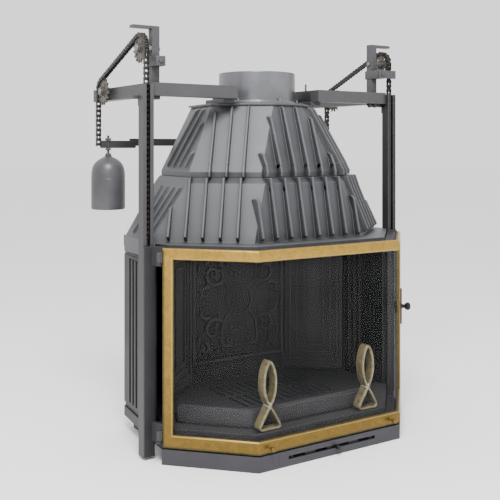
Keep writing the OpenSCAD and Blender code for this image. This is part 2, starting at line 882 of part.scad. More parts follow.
hub_half = 7;
tooth_t = inner_w - 1;
module sprocket_axles() {
    x1 = column_x + hub_half + gap;
    color("gray")
        for (side = sides) {
            across(side, post_x - post_w / 2 - 4, x1 + 5, top_axle_y, top_axle_z, axle_d / 2);
            across(side, post_x + post_w / 2, column_x - hub_half - gap, top_axle_y, top_axle_z,
                axle_d / 2 + 3);
            across(side, x1, x1 + 4, top_axle_y, top_axle_z, axle_d / 2 + 3);
            across(side, arm_x0 - 4, x1 + 5, rear_axle_y, rear_axle_z, axle_d / 2);
            across(side, arm_x1, column_x - hub_half - gap, rear_axle_y, rear_axle_z, axle_d / 2 + 2);
            across(side, x1, x1 + 4, rear_axle_y, rear_axle_z, axle_d / 2 + 3);
        }
}

// Clearance of a seated roller in its tooth gap, and the slope of the tooth flanks, which the
// roller next to the wheel passes by
seat_gap = 0.25;
flank_a = 26;

// A chain sprocket on the YZ plane, turning on an axle along X
module sprocket(side, y, z, first_a) {
    tip_r = sprocket_r + roller_d / 2;
    gap_r = roller_d / 2 + seat_gap;
    flare = gap_r + (tip_r - sprocket_r + 2) * tan(flank_a);
    color([0.5, 0.48, 0.45])
        translate([side * column_x, y, z])
            rotate([90, 0, 90])
                difference() {
                    union() {
                        linear_extrude(tooth_t, center = true)
                            difference() {
                                circle(tip_r, $fn = 96);
                                for (i = [0:teeth - 1])
                                    rotate(first_a + i * step_a)
                                        translate([sprocket_r, 0]) {
                                            circle(gap_r, $fn = 24);
                                            polygon([[0, -gap_r], [tip_r - sprocket_r + 2, -flare],
                                                [tip_r - sprocket_r + 2, flare], [0, gap_r]]);
                                        }
                            }
                        cylinder(h = 2 * hub_half, r = axle_d / 2 + 6, center = true);
                    }
                    cylinder(h = 4 * hub_half, r = axle_d / 2 + fit, center = true);
                    for (i = [0:3])
                        rotate(45 + i * 90)
                            translate([(axle_d / 2 + 6 + sprocket_r - roller_d) / 2 + 2, 0, 0])
                                cylinder(h = 4 * hub_half, r = 3.4, center = true);
                }
}

module sprocket_top_left() sprocket(-1, top_axle_y, top_axle_z, 180);
module sprocket_top_right() sprocket(1, top_axle_y, top_axle_z, 180);
module sprocket_rear_left() sprocket(-1, rear_axle_y, rear_axle_z, leave_a);
module sprocket_rear_right() sprocket(1, rear_axle_y, rear_axle_z, leave_a);

// Roller chain

// Place of roller k in the YZ plane, counted from where the front run meets the top sprocket
arrive = turn_top + span_links;
drop = arrive + turn_rear;
function on_circle(y, z, a) = [y + sprocket_r * cos(a), z + sprocket_r * sin(a)];
function roller_at(k) =
    k <= 0 ? [column_y, top_axle_z + k * pitch]
    : k <= turn_top ? on_circle(top_axle_y, top_axle_z, 180 - k * step_a)
    : k <= arrive ? on_circle(top_axle_y, top_axle_z, leave_a)
        + (k - turn_top) * pitch * [sin(leave_a), -cos(leave_a)]
    : k <= drop ? on_circle(rear_axle_y, rear_axle_z, leave_a - (k - arrive) * step_a)
    : [rear_chain_y, rear_axle_z - (k - drop) * pitch];

// Outline of a chain plate between two rollers
function plate_outline(p, q) =
    let (a = atan2(q[1] - p[1], q[0] - p[0]), r = plate_h / 2)
    concat([for (t = [-90:45:90]) q + r * [cos(a + t), sin(a + t)]],
        [for (t = [90:45:270]) p + r * [cos(a + t), sin(a + t)]]);

// A stretch of chain from roller k0 to roller k1
module chain(side, k0, k1) {
    color([0.3, 0.29, 0.28])
        translate([side * column_x, 0, 0])
            rotate([90, 0, 90]) {
                for (k = [k0:k1])
                    translate(roller_at(k)) {
                        cylinder(h = inner_w, d = roller_d, center = true, $fn = 16);
                        cylinder(h = chain_w + 1, d = pin_d, center = true, $fn = 16);
                    }
                for (k = [k0:k1 - 1], hand = sides) {
                    offset = inner_w / 2 + plate_t / 2 + (k % 2 == 0 ? 0 : plate_t);
                    translate([0, 0, hand * offset])
                        linear_extrude(plate_t, center = true)
                            polygon(plate_outline(roller_at(k), roller_at(k + 1)));
                }
            }
}

module chain_front_left() chain(-1, -front_links, -1);
module chain_front_right() chain(1, -front_links, -1);
module chain_upper_left() chain(-1, 0, drop);
module chain_upper_right() chain(1, 0, drop);
module chain_rear_left() chain(-1, drop + 1, drop + rear_links);
module chain_rear_right() chain(1, drop + 1, drop + rear_links);

// Lifting carriage

module door_carrier() {
    z0 = door_z + 2;
    z1 = door_top - 2;
    d1 = carrier_d + carrier_t;
    w = carrier_wall;
    color([0.2, 0.2, 0.21])
        difference() {
            band_part(carrier_d, d1, z0, z1);
            band_part(carrier_d + w, d1 + w, z0 + w, z1 - w, w);
            band_part(carrier_d - w, d1 + w, z0 + carrier_rail, z1 - carrier_rail, carrier_stile);
        }
}

// The bar that slides on a column and carries one end of the door's frame
bar_t = 5;
shoe_h = 46;
tongue_w = slot_w - 2;
arm_drop = 45;

module slide_bar(side) {
    y1 = column_y - column_d / 2 - gap;
    y0 = y1 - bar_t;
    z0 = column_z + 2;
    shoe_w = column_w - 2 * column_wall - 2;
    shoe_d = column_d - 2 * column_wall - 2;
    outer = facet_point(carrier_d, 0);
    inner = facet_point(carrier_d + carrier_t, 0);
    color([0.3, 0.3, 0.31])
        mirror([side < 0 ? 1 : 0, 0, 0]) {
            box(column_x - column_w / 2, column_x + column_w / 2, y0, y1, z0, door_top);
            for (z = [door_z + 6, door_top - shoe_h]) {
                box(column_x - tongue_w / 2, column_x + tongue_w / 2, y1, column_y - shoe_d / 2,
                    z, z + shoe_h);
                translate([column_x - shoe_w / 2, column_y - shoe_d / 2, z])
                    cube([shoe_w, shoe_d, shoe_h]);
                prism([outer, inner, [column_x - column_w / 2, y0 + bar_t],
                    [column_x - column_w / 2 + 6, y0]], z, z + shoe_h);
            }
            box(column_x - 2, column_x + 2, column_y - 4, column_y + 4, door_top,
                front_pin_z - roller_d / 2 - gap);
            if (side < 0)
                for (z = hinge_levels)
                    hinge_ear(z);
        }
}

// Hinge on the left end: ears on the carriage, knuckles on the door
hinge_s = -8;
hinge_d = door_t / 2;
ear_t = 6;
knuckle_h = 24;
knuckle_r = 6;
hinge_pin_d = 6;
hinge_levels = [door_z + 10, door_top - shoe_h + 5];

module hinge_ear(z) {
    axis = facet_point(hinge_d, hinge_s);
    difference() {
        union() {
            prism([facet_point(carrier_d + 1, 0), facet_point(hinge_d + knuckle_r, hinge_s + 2), axis,
                facet_point(hinge_d, hinge_s - knuckle_r), facet_point(carrier_d + 12, -16),
                facet_point(carrier_d + 8, 0)], z, z + ear_t);
            translate([axis[0], axis[1], z])
                cylinder(h = ear_t, r = knuckle_r + 1);
        }
        translate([axis[0], axis[1], z - 1])
            cylinder(h = ear_t + 2, d = hinge_pin_d);
    }
}

module hinge_pins() {
    axis = flip(facet_point(hinge_d, hinge_s));
    color("gray")
        for (z = hinge_levels)
            translate([axis[0], axis[1], z])
                cylinder(h = ear_t + knuckle_h - 1, d = hinge_pin_d);
}

// Catch on the right end: the tongue of the door handle turns in behind it
handle_z = door_z + door_h * 0.554;
handle_s = 11;
spindle_r = 4;
keeper_h = 24;
keeper_lead = 1.5;
module latch_keeper() {
    x = column_x - column_w / 2;
    y0 = column_y - column_d / 2 - gap - bar_t;
    color([0.3, 0.3, 0.31])
        prism([facet_point(door_t / 2, -1.5), facet_point(door_t / 2, -14), [x + 8, y0], [x, y0],
            facet_point(carrier_d + 8, -9), facet_point(door_t, -9),
            facet_point(door_t - keeper_lead, -1.5)],
            handle_z - keeper_h / 2, handle_z + keeper_h / 2);
}

module slide_bar_left() slide_bar(-1);
module slide_bar_right() slide_bar(1);

// Door

module door_ring(d0, d1, e) {
    band_part(d0, d1, door_z + e, door_z + rail_bottom - e, e);
    band_part(d0, d1, door_top - rail_top + e, door_top - e, e);
    for (side = sides)
        stile(side, d0, d1, e, stile_w - e, door_z + rail_bottom - e, door_top - rail_top + e);
}

module door_frame() {
    axis = flip(facet_point(hinge_d, hinge_s));
    color([0.72, 0.58, 0.3])
        difference() {
            union() {
                door_ring(step_t, door_t, 0);
                door_ring(0, step_t, edge_w);
                for (z = hinge_levels) {
                    stile(-1, hinge_d - 3, hinge_d + 3, hinge_s, 0, z + ear_t + gap,
                        z + ear_t + gap + knuckle_h);
                    translate([axis[0], axis[1], z + ear_t + gap])
                        cylinder(h = knuckle_h, r = knuckle_r);
                }
            }
            for (z = hinge_levels)
                translate([axis[0], axis[1], z])
                    cylinder(h = ear_t + knuckle_h + 2, r = hinge_pin_d / 2 + fit);
            on_facet(1, door_t, handle_s, handle_z)
                translate([0, 0, -1])
                    cylinder(h = door_t + 2, r = spindle_r + fit);
        }
}

pane_z0 = door_z + rail_bottom - glass_lap;
pane_z1 = door_top - rail_top + glass_lap;
pane_gap = 1;

module side_pane(side) {
    shift = pane_gap * [cos(facet_a), sin(facet_a)];
    pts = [corner_point(pane_d) + shift, facet_point(pane_d, stile_w - glass_lap),
        facet_point(pane_d + glass_t, stile_w - glass_lap), corner_point(pane_d + glass_t) + shift];
    color([0.5, 0.52, 0.54, 0.25])
        prism(side > 0 ? pts : [for (p = pts) flip(p)], pane_z0, pane_z1);
}

module glass_left() side_pane(-1);
module glass_right() side_pane(1);

module glass_front() {
    near = corner_point(pane_d) - [pane_gap, 0];
    far = corner_point(pane_d + glass_t) - [pane_gap, 0];
    color([0.5, 0.52, 0.54, 0.25])
        prism([flip(near), near, far, flip(far)], pane_z0, pane_z1);
}

door_knob_x = front_w / 2 - 30;
module door_knobs() {
    color([0.75, 0.6, 0.32])
        for (side = sides)
            translate([side * door_knob_x, -front_y, door_z + rail_bottom * 0.42])
                rotate([90, 0, 0])
                    rotate_extrude()
                        polygon([[0, 0], [7, 0], [7, 2], [4, 4], [4, 10], [8, 13], [9.5, 17],
                            [8, 21], [4, 23.5], [0, 24]]);
}

plate_len = 100;
escutcheon_t = 4;
module handle_plate() {
    color([0.2, 0.2, 0.2])
        on_facet(1, 0, handle_s, handle_z)
            difference() {
                linear_extrude(escutcheon_t) {
                    square([12, plate_len - 12], center = true);
                    for (hand = sides)
                        translate([0, hand * (plate_len / 2 - 6)])
                            circle(6);
                }
                translate([0, 0, -1])
                    cylinder(h = escutcheon_t + 2, r = spindle_r + fit);
            }
}

tongue_l = 19;
module door_handle() {
    color([0.16, 0.16, 0.17])
        on_facet(1, 0, handle_s, handle_z) {
            translate([0, 0, -door_t - gap])
                cylinder(h = door_t + escutcheon_t + 2 * gap, r = spindle_r);
            translate([0, 0, escutcheon_t + gap])
                rotate_extrude()
                    polygon([[0, 0], [6, 0], [6, 3], [4.5, 6], [9, 10], [11, 15], [10, 20],
                        [6, 23], [0, 24]]);
            translate([-4, -tongue_l, -door_t - gap - 4])
                cube([8, tongue_l + 4, 4]);
        }
}

// Counterweights

beam_h = 20;
beam_t = 6;
beam_lap = 292;
beam_end = column_x - chain_w / 2 - 0.5 - gap;
weight_x = column_x - 28;
yoke_w = 14;
yoke_t = 6;

module counterweight_beam() {
    color([0.2, 0.2, 0.2])
        translate([0, rear_chain_y, beam_z]) {
            for (side = sides)
                side_box(side, beam_lap - 14, beam_end, -beam_t / 2, beam_t / 2, -beam_h / 2, beam_h / 2);
            box(-beam_lap, beam_lap, beam_t / 2, beam_t * 1.5, -beam_h / 2 + 6, beam_h / 2 + 6);
        }
}

module counterweight(side) {
    dome = weight_r * 0.85;
    neck = 7;
    rod_h = 16;
    rod_root = 2;
    top = beam_z - beam_h / 2 - rod_h;
    color([0.34, 0.34, 0.35])
        translate([side * weight_x, rear_chain_y, 0]) {
            translate([0, 0, top - weight_h])
                rotate_extrude($fn = 96)
                    polygon(concat([[0, 0], [weight_r - 3, 0], [weight_r, 3]],
                        [for (t = [0:10:90]) [neck + (weight_r - neck) * cos(t) - 1 + t / 90,
                            weight_h - dome + dome * sin(t)]], [[0, weight_h]]));
            translate([0, 0, top - rod_root])
                cylinder(h = rod_root + rod_h - yoke_t / 2, r = 4);
            difference() {
                box(-yoke_w / 2, yoke_w / 2, -yoke_w / 2, yoke_w / 2, beam_z - beam_h / 2 - yoke_t,
                    beam_z + beam_h / 2 + yoke_t - 1);
                box(-yoke_w, yoke_w, -beam_t / 2, beam_t / 2, beam_z - beam_h / 2, beam_z + beam_h / 2);
            }
        }
}

module counterweight_left() counterweight(-1);
module counterweight_right() counterweight(1);

base_tray();
air_register_panel();
air_slider();
hearth_sole();
hearth_floor();
fire_grate();
ash_pan();
log_guard();
andiron_left();
andiron_right();
fireback();
corner_lining_left();
corner_lining_right();
side_lining_left();
side_lining_right();
back_casing();
side_casing_left();
side_casing_right();
hood_lower();
hood_upper();
flue_collar();
hood_studs();
column_left();
column_right();
column_bracket_left();
column_bracket_right();
cross_arm_left();
cross_arm_right();
rear_arm_left();
rear_arm_right();
post_left();
post_right();
guide_block_left();
guide_block_right();
sprocket_axles();
chain_front_left();
chain_front_right();
chain_upper_left();
chain_upper_right();
chain_rear_left();
chain_rear_right();
door_carrier();
slide_bar_left();
slide_bar_right();
latch_keeper();
hinge_pins();
door_frame();
glass_left();
glass_front();
glass_right();
door_knobs();
handle_plate();
door_handle();
counterweight_beam();
counterweight_left();
counterweight_right();
sprocket_top_left();
sprocket_top_right();
sprocket_rear_left();
sprocket_rear_right();
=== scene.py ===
"""Looks of the fireplace insert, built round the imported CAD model. Metres, Z up, front towards -Y."""
import json
import math

import bmesh
import bpy
import numpy as np
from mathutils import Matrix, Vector


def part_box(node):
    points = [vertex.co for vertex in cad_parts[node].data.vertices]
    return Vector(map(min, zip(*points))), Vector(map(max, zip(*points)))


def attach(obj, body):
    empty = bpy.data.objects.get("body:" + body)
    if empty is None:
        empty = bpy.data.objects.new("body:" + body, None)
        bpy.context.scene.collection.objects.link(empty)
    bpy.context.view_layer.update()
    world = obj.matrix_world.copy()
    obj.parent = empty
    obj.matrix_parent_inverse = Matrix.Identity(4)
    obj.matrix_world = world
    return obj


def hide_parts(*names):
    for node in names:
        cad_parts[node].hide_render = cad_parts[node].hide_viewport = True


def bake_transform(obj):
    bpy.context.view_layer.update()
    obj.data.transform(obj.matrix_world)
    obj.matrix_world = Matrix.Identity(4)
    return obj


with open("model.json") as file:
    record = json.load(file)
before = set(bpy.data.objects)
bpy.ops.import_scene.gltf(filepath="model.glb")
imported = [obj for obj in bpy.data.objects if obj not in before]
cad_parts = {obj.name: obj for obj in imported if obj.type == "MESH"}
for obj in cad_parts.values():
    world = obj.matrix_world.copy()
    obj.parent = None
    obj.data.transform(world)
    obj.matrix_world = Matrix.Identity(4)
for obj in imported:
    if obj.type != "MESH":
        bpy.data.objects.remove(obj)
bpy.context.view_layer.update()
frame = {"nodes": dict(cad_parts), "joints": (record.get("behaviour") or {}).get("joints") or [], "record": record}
# The two sides, and the sign of their x
HANDS = (("left", -1), ("right", 1))


# materials

# Where the cloud and grain noises start and end to change the tone
CLOUD_STOPS = (0.32, 0.68)
GRAIN_STOPS = (0.3, 0.7)
# Grain lightens less than it darkens
GRAIN_LIGHT = 0.6
# Share of the open sky that counts as a full crease, and as none, for the painted shade in creases
CREASE_SKY = (0.45, 0.95)
# Cosine between the rounded and the true normal on a plain face, and on a fully paler edge, which is partly wear and
# partly painted highlight
EDGE_WEAR_HIGHLIGHT_COSINE = (0.97, 0.75)
# Pointiness of a carving's hollows and ridges, and how far painted shade darkens the hollows and painted highlight
# lightens the ridges
CARVED_POINTS = (0.47, 0.53)
CARVED_DARK = 0.9
CARVED_LIGHT = 1.3
# Opacity of the clearest and the haziest glass
GLASS_HAZE = (0.002, 0.007)


def new_material(name):
    mat = bpy.data.materials.new(name)
    mat.use_nodes = True
    return mat, mat.node_tree.nodes, mat.node_tree.links


def ramp(nodes, stops):
    stops = list(stops)
    node = nodes.new("ShaderNodeValToRGB")
    while len(node.color_ramp.elements) < len(stops):
        node.color_ramp.elements.new(0.5)
    for element, (at, colour) in zip(node.color_ramp.elements, stops):
        element.position = at
        element.color = (*colour, 1)
    return node


def noise(nodes, links, where, scale, detail=4.0, rough=0.55):
    node = nodes.new("ShaderNodeTexNoise")
    node.inputs["Scale"].default_value = scale
    node.inputs["Detail"].default_value = detail
    node.inputs["Roughness"].default_value = rough
    links.new(where, node.inputs["Vector"])
    return node


def scaled(colour, k):
    return tuple(min(1.0, c * k) for c in colour)


def remap(nodes, links, value, start, end):
    """Carries the range start of a value to the range end."""
    node = nodes.new("ShaderNodeMapRange")
    for socket, limit in zip(("From Min", "From Max", "To Min", "To Max"), (*start, *end)):
        node.inputs[socket].default_value = limit
    links.new(value, node.inputs["Value"])
    return node.outputs["Result"]


def darkened(nodes, links, colour, share):
    """The colour times a share that a node gives."""
    scale = nodes.new("ShaderNodeVectorMath")
    scale.operation = "SCALE"
    links.new(colour, scale.inputs[0])
    links.new(share, scale.inputs["Scale"])
    return scale.outputs["Vector"]


def metal(name, colour, rough=0.5, metallic=0.0, mottle=0.12, mottle_scale=14, grain=0.1,
          grain_scale=420, bump=0.25, bump_depth=0.0004, edge=0.35, edge_r=0.002, edge_colour=None,
          rough_spread=0.1, spec=0.5, crease=0.0, crease_r=0.012, fade=None, relief=0.0):
    """A cast, painted or bare metal: cloudy tone, fine grain, paler edges that are partly wear and partly painted
    highlight, and painted shade in creases.

    fade is painted shade: the tone darkens towards the bottom, where less light falls. It is (z of the shaded end, z
    of the fully lit end, what is left of the tone at the shaded end).
    relief is how much painted shade darkens a finely meshed carving in its hollows and painted highlight lightens it
    on its ridges.
    """
    mat, nodes, links = new_material(name)
    bsdf = nodes["Principled BSDF"]
    where = nodes.new("ShaderNodeTexCoord").outputs["Object"]
    cloud = noise(nodes, links, where, mottle_scale, 5)
    tone = ramp(nodes, zip(CLOUD_STOPS, (scaled(colour, 1 - mottle), scaled(colour, 1 + mottle))))
    links.new(cloud.outputs["Fac"], tone.inputs["Fac"])
    fine = noise(nodes, links, where, grain_scale, 3, 0.7)
    speck = ramp(nodes, zip(GRAIN_STOPS, ((1 - grain,) * 3, (1 + grain * GRAIN_LIGHT,) * 3)))
    links.new(fine.outputs["Fac"], speck.inputs["Fac"])
    mixed = nodes.new("ShaderNodeMix")
    mixed.data_type = "RGBA"
    mixed.blend_type = "MULTIPLY"
    mixed.inputs["Factor"].default_value = 1.0
    links.new(tone.outputs["Color"], mixed.inputs["A"])
    links.new(speck.outputs["Color"], mixed.inputs["B"])
    last = mixed.outputs["Result"]
    # Painted shade: the tone darkens towards the bottom, where less light falls
    if fade:
        height = nodes.new("ShaderNodeSeparateXYZ")
        links.new(where, height.inputs["Vector"])
        painted_shade = remap(nodes, links, height.outputs["Z"], fade[:2], (fade[2], 1.0))
        last = darkened(nodes, links, last, painted_shade)
    # Painted shade in the carving's hollows and painted highlight on its ridges
    if relief:
        points = nodes.new("ShaderNodeNewGeometry").outputs["Pointiness"]
        carved = remap(nodes, links, points, CARVED_POINTS, (1 - CARVED_DARK * relief, 1 + CARVED_LIGHT * relief))
        last = darkened(nodes, links, last, carved)
    # Painted shade in creases and hollows, where little light reaches
    if crease:
        hollow = nodes.new("ShaderNodeAmbientOcclusion")
        hollow.samples = 6
        hollow.inputs["Distance"].default_value = crease_r
        crease_shade = remap(nodes, links, hollow.outputs["AO"], CREASE_SKY, (1 - crease, 1.0))
        last = darkened(nodes, links, last, crease_shade)
    rounded = nodes.new("ShaderNodeBevel")
    rounded.samples = 4
    rounded.inputs["Radius"].default_value = edge_r
    # Paler edges: partly wear, partly painted highlight
    if edge:
        geometry = nodes.new("ShaderNodeNewGeometry")
        dot = nodes.new("ShaderNodeVectorMath")
        dot.operation = "DOT_PRODUCT"
        links.new(rounded.outputs["Normal"], dot.inputs[0])
        links.new(geometry.outputs["Normal"], dot.inputs[1])
        wear_and_highlight = nodes.new("ShaderNodeMix")
        wear_and_highlight.data_type = "RGBA"
        links.new(remap(nodes, links, dot.outputs["Value"], EDGE_WEAR_HIGHLIGHT_COSINE, (0.0, edge)), wear_and_highlight.inputs["Factor"])
        links.new(last, wear_and_highlight.inputs["A"])
        wear_and_highlight.inputs["B"].default_value = (*(edge_colour or scaled(colour, 2.2)), 1)
        last = wear_and_highlight.outputs["Result"]
    links.new(last, bsdf.inputs["Base Color"])
    gloss = (max(0.05, rough - rough_spread), min(1.0, rough + rough_spread))
    links.new(remap(nodes, links, cloud.outputs["Fac"], (0.0, 1.0), gloss), bsdf.inputs["Roughness"])
    bsdf.inputs["Metallic"].default_value = metallic
    bsdf.inputs["Specular IOR Level"].default_value = spec
    grit = nodes.new("ShaderNodeBump")
    grit.inputs["Strength"].default_value = bump
    grit.inputs["Distance"].default_value = bump_depth
    links.new(fine.outputs["Fac"], grit.inputs["Height"])
    links.new(rounded.outputs["Normal"], grit.inputs["Normal"])
    links.new(grit.outputs["Normal"], bsdf.inputs["Normal"])
    return mat


def clear_glass(name):
    """Clear glass: almost nothing but its gloss and a slight uneven haze."""
    mat, nodes, links = new_material(name)
    bsdf = nodes["Principled BSDF"]
    where = nodes.new("ShaderNodeTexCoord").outputs["Object"]
    haze = noise(nodes, links, where, 6, 3)
    links.new(remap(nodes, links, haze.outputs["Fac"], (0.0, 1.0), GLASS_HAZE), bsdf.inputs["Alpha"])
    bsdf.inputs["Base Color"].default_value = (0.85, 0.87, 0.88, 1)
    bsdf.inputs["Roughness"].default_value = 0.08
    return mat


# Edge colours paint highlights on the rims, with some wear; crease paints shade in hollows, relief paints shade and
# highlight on the carving, and fade paints shade towards the bottom
MATERIAL = {
    "base_iron": metal("base_iron", (0.034, 0.032, 0.038), 0.5, mottle=0.14, bump=0.15, spec=0.35),
    "hearth_iron": metal("hearth_iron", (0.019, 0.0187, 0.0205), 0.55, mottle=0.2, grain=0.15, bump=0.12, edge=0.5,
                         edge_colour=(0.08, 0.08, 0.083), spec=0.12, crease=0.85),
    "pan_steel": metal("pan_steel", (0.30, 0.30, 0.31), 0.4, 0.9),
    "andiron_enamel": metal("andiron_enamel", (0.125, 0.102, 0.050), 0.42, 0.2, mottle=0.5, mottle_scale=110,
                            edge=1.0, edge_r=0.0048, edge_colour=(1.0, 0.95, 0.80), crease=0.6),
    "lining_iron": metal("lining_iron", (0.017, 0.0165, 0.0175), 0.55, mottle=0.2, grain=0.15, bump=0.12,
                         bump_depth=0.0005, grain_scale=300, edge=0, spec=0.06, relief=1.0),
    "casing_iron": metal("casing_iron", (0.018, 0.018, 0.0195), 0.5, mottle=0.12, bump=0.15, spec=0.26, crease=0.6),
    "hood_iron": metal("hood_iron", (0.052, 0.054, 0.059), 0.46, mottle=0.12, bump=0.3, edge=0.55, edge_r=0.003,
                       edge_colour=(0.20, 0.21, 0.22), spec=0.5, crease=0.75, crease_r=0.03),
    "fixing_steel": metal("fixing_steel", (0.20, 0.20, 0.20), 0.4, 0.8),
    "frame_steel": metal("frame_steel", (0.050, 0.048, 0.051), 0.45, mottle=0.1, spec=0.4, crease=0.5,
                         fade=(0.35, 1.0, 0.6)),
    "chain_steel": metal("chain_steel", (0.03, 0.027, 0.024), 0.35, 0.6, grain=0.3, edge_r=0.0004,
                         edge=0.4),
    "carrier_black": metal("carrier_black", (0.024, 0.023, 0.025), 0.45, spec=0.35),
    "door_brass": metal("door_brass", (0.37, 0.225, 0.040), 0.36, 0.75, mottle=0.16, mottle_scale=60,
                        grain=0.25, grain_scale=260, bump=0.12, edge=0.2, edge_colour=(0.55, 0.38, 0.12),
                        fade=(0.05, 0.5, 0.42)),
    # Copies of the door brass with painted shade, for the frame's outer rounding, and with a painted highlight, for
    # its inner bevel; both also darken towards the bottom as painted shade
    "brass_painted_shade": metal("brass_painted_shade", (0.12, 0.088, 0.022), 0.5, 0.5, mottle=0.3, mottle_scale=80, grain=0.2,
                        edge=0, fade=(0.04, 0.5, 0.6)),
    "brass_painted_highlight": metal("brass_painted_highlight", (0.40, 0.28, 0.085), 0.5, 0.55, mottle=0.12, mottle_scale=80, grain=0.2,
                        edge=0, fade=(0.04, 0.5, 0.7)),
    "door_glass": clear_glass("door_glass"),
    "weight_iron": metal("weight_iron", (0.050, 0.050, 0.055), 0.42, mottle=0.25, spec=0.55),
    "sprocket_steel": metal("sprocket_steel", (0.085, 0.075, 0.062), 0.4, 0.5, edge_r=0.0006),
    "floor": metal("floor", (0.96, 0.96, 0.96), 0.9, mottle=0.01, mottle_scale=2, grain=0.01,
                   bump=0.02, edge=0),
}

# Materials of single nodes that differ from the rest of their slot; shade_steel is a darker steel that paints shade on
# the right column
register_black = metal("register_black", (0.006, 0.006, 0.006), 0.4, spec=0.3)
flute_iron = metal("flute_iron", (0.006, 0.006, 0.0065), 0.5, mottle=0.2, bump=0.12, edge=1.0, edge_r=0.003,
                   edge_colour=(0.08, 0.078, 0.076), spec=0.05, crease=0.6, crease_r=0.01)
panel_iron = metal("panel_iron", (0.030, 0.0295, 0.0305), 0.5, mottle=0.15, bump=0.12, edge=0.7, edge_r=0.002,
                   edge_colour=(0.085, 0.083, 0.082), spec=0.08, crease=0.95, crease_r=0.012)
ledge_iron = metal("ledge_iron", (0.030, 0.029, 0.031), 0.48, mottle=0.2, bump=0.12, edge=0.5,
                   edge_colour=(0.10, 0.10, 0.105), spec=0.22, crease=0.8)
bar_steel = metal("bar_steel", (0.020, 0.019, 0.022), 0.45, mottle=0.1, spec=0.3, edge=0.5,
                  edge_colour=(0.07, 0.07, 0.075))
shade_steel = metal("shade_steel", (0.020, 0.0195, 0.021), 0.45, mottle=0.1, spec=0.22, edge=0.8, edge_r=0.003,
                    edge_colour=(0.16, 0.16, 0.165), crease=0.5)
collar_steel = metal("collar_steel", (0.16, 0.165, 0.175), 0.34, 0.7, mottle=0.12, bump=0.2, edge=0.3,
                     edge_colour=(0.3, 0.3, 0.31))
FINISH = {"air_slider": register_black, "handle_plate": register_black, "door_handle": register_black,
          "side_lining_left": flute_iron, "side_lining_right": flute_iron,
          "corner_lining_left": panel_iron, "corner_lining_right": panel_iron,
          "log_guard": ledge_iron, "hearth_sole": ledge_iron,
          "slide_bar_left": bar_steel, "slide_bar_right": bar_steel,
          "column_right": shade_steel, "flue_collar": collar_steel}
SLOT_OF = {part["node"]: part["material_slot"] for part in frame["record"]["subparts"]}
for node, obj in frame["nodes"].items():
    obj.data.materials.clear()
    obj.data.materials.append(FINISH.get(node, MATERIAL[SLOT_OF[node]]))


# mesh helpers

def mesh_piece(name, bm, slot, body=None, smooth=0.6):
    """Turns a bmesh into a named piece with its finish, riding on a body."""
    mesh = bpy.data.meshes.new(name)
    bmesh.ops.recalc_face_normals(bm, faces=bm.faces)
    bm.to_mesh(mesh)
    bm.free()
    obj = bpy.data.objects.new(name, mesh)
    bpy.context.scene.collection.objects.link(obj)
    mesh.materials.append(MATERIAL[slot])
    if smooth:
        mesh.shade_smooth()
        mesh.set_sharp_from_angle(angle=smooth)
    if body:
        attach(obj, body)
    return obj


def slab(bm, outline, x, thick, chamfer=0.0002):
    """A plate in the YZ plane, centred on x, with chamfered rims."""
    centre = sum((Vector(p) for p in outline), Vector((0, 0))) / len(outline)
    rings = []
    half = thick / 2
    for dx, inset in ((-half, chamfer), (-half + chamfer, 0), (half - chamfer, 0), (half, chamfer)):
        ring = []
        for p in outline:
            v = Vector(p) - centre
            v = v * (1 - inset / max(v.length, 1e-6))
            ring.append(bm.verts.new((x + dx, centre[0] + v[0], centre[1] + v[1])))
        rings.append(ring)
    n = len(outline)
    for a, b in zip(rings, rings[1:]):
        for i in range(n):
            bm.faces.new((a[i], a[(i + 1) % n], b[(i + 1) % n], b[i]))
    bm.faces.new(rings[0])
    bm.faces.new(rings[-1])


def turned(bm, profile, origin, axis, segments=24):
    """A lathe-turned solid: profile is [(distance along axis, radius), ...]."""
    axis = Vector(axis).normalized()
    side = axis.orthogonal().normalized()
    other = axis.cross(side)
    origin = Vector(origin)
    rings = []
    for d, r in profile:
        if r < 1e-7:
            rings.append([bm.verts.new(origin + axis * d)])
            continue
        rings.append([bm.verts.new(origin + axis * d + r * (side * math.cos(a) + other * math.sin(a)))
                      for a in (2 * math.pi * i / segments for i in range(segments))])
    for a, b in zip(rings, rings[1:]):
        if len(a) == 1 and len(b) == 1:
            continue
        for i in range(segments):
            j = (i + 1) % segments
            if len(a) == 1:
                bm.faces.new((a[0], b[i], b[j]))
            elif len(b) == 1:
                bm.faces.new((a[i], a[j], b[0]))
            else:
                bm.faces.new((a[i], a[j], b[j], b[i]))
    for ring in (rings[0], rings[-1]):
        if len(ring) > 1:
            bm.faces.new(ring)


# chains

PITCH = 0.0127
TEETH = 16
STEP = 2 * math.pi / TEETH
WHEEL_R = PITCH / (2 * math.sin(STEP / 2))
# Links that lie round each wheel, and the angle at which the chain leaves the top one
TURN_TOP = 5
TURN_REAR = TEETH // 2 - TURN_TOP
LEAVE = math.pi - TURN_TOP * STEP
INNER_W = 0.0066
PLATE_T = 0.0014
PLATE_R = 0.0059
WAIST = 0.72
# Part of a half circle that each round end of a plate covers, and its faces
END_SWEEP = 0.86
END_FACES = 8
ROLLER_R = 0.004
PIN_R = 0.0018
PIN_PROUD = 0.0006
PIN_CHAMFER = 0.0003
PIN_TIP = 0.6
# The runs that slide into each other as the door rises differ a little in size
NEST = 0.00006
# Links in each group of the rear run that comes out as the weights sink
REAR_GROUP = 10


def centre_of(node):
    low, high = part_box(node)
    return (low + high) / 2


TOP = centre_of("sprocket_top_left")
REAR = centre_of("sprocket_rear_left")
COLUMN_X = abs(TOP.x)
SPAN = round(math.hypot(REAR.y - TOP.y, REAR.z - TOP.z) / PITCH)
ARRIVE = TURN_TOP + SPAN
DROP = ARRIVE + TURN_REAR
FRONT_LINKS = round((TOP.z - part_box("chain_front_left")[0].z - PLATE_R) / PITCH)
REAR_LINKS = round((REAR.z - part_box("chain_rear_left")[0].z - PLATE_R) / PITCH)
LIFT = next(j for j in frame["joints"] if j["name"] == "door_lift")["range_m"][1]
LIFT_LINKS = round(LIFT / PITCH)


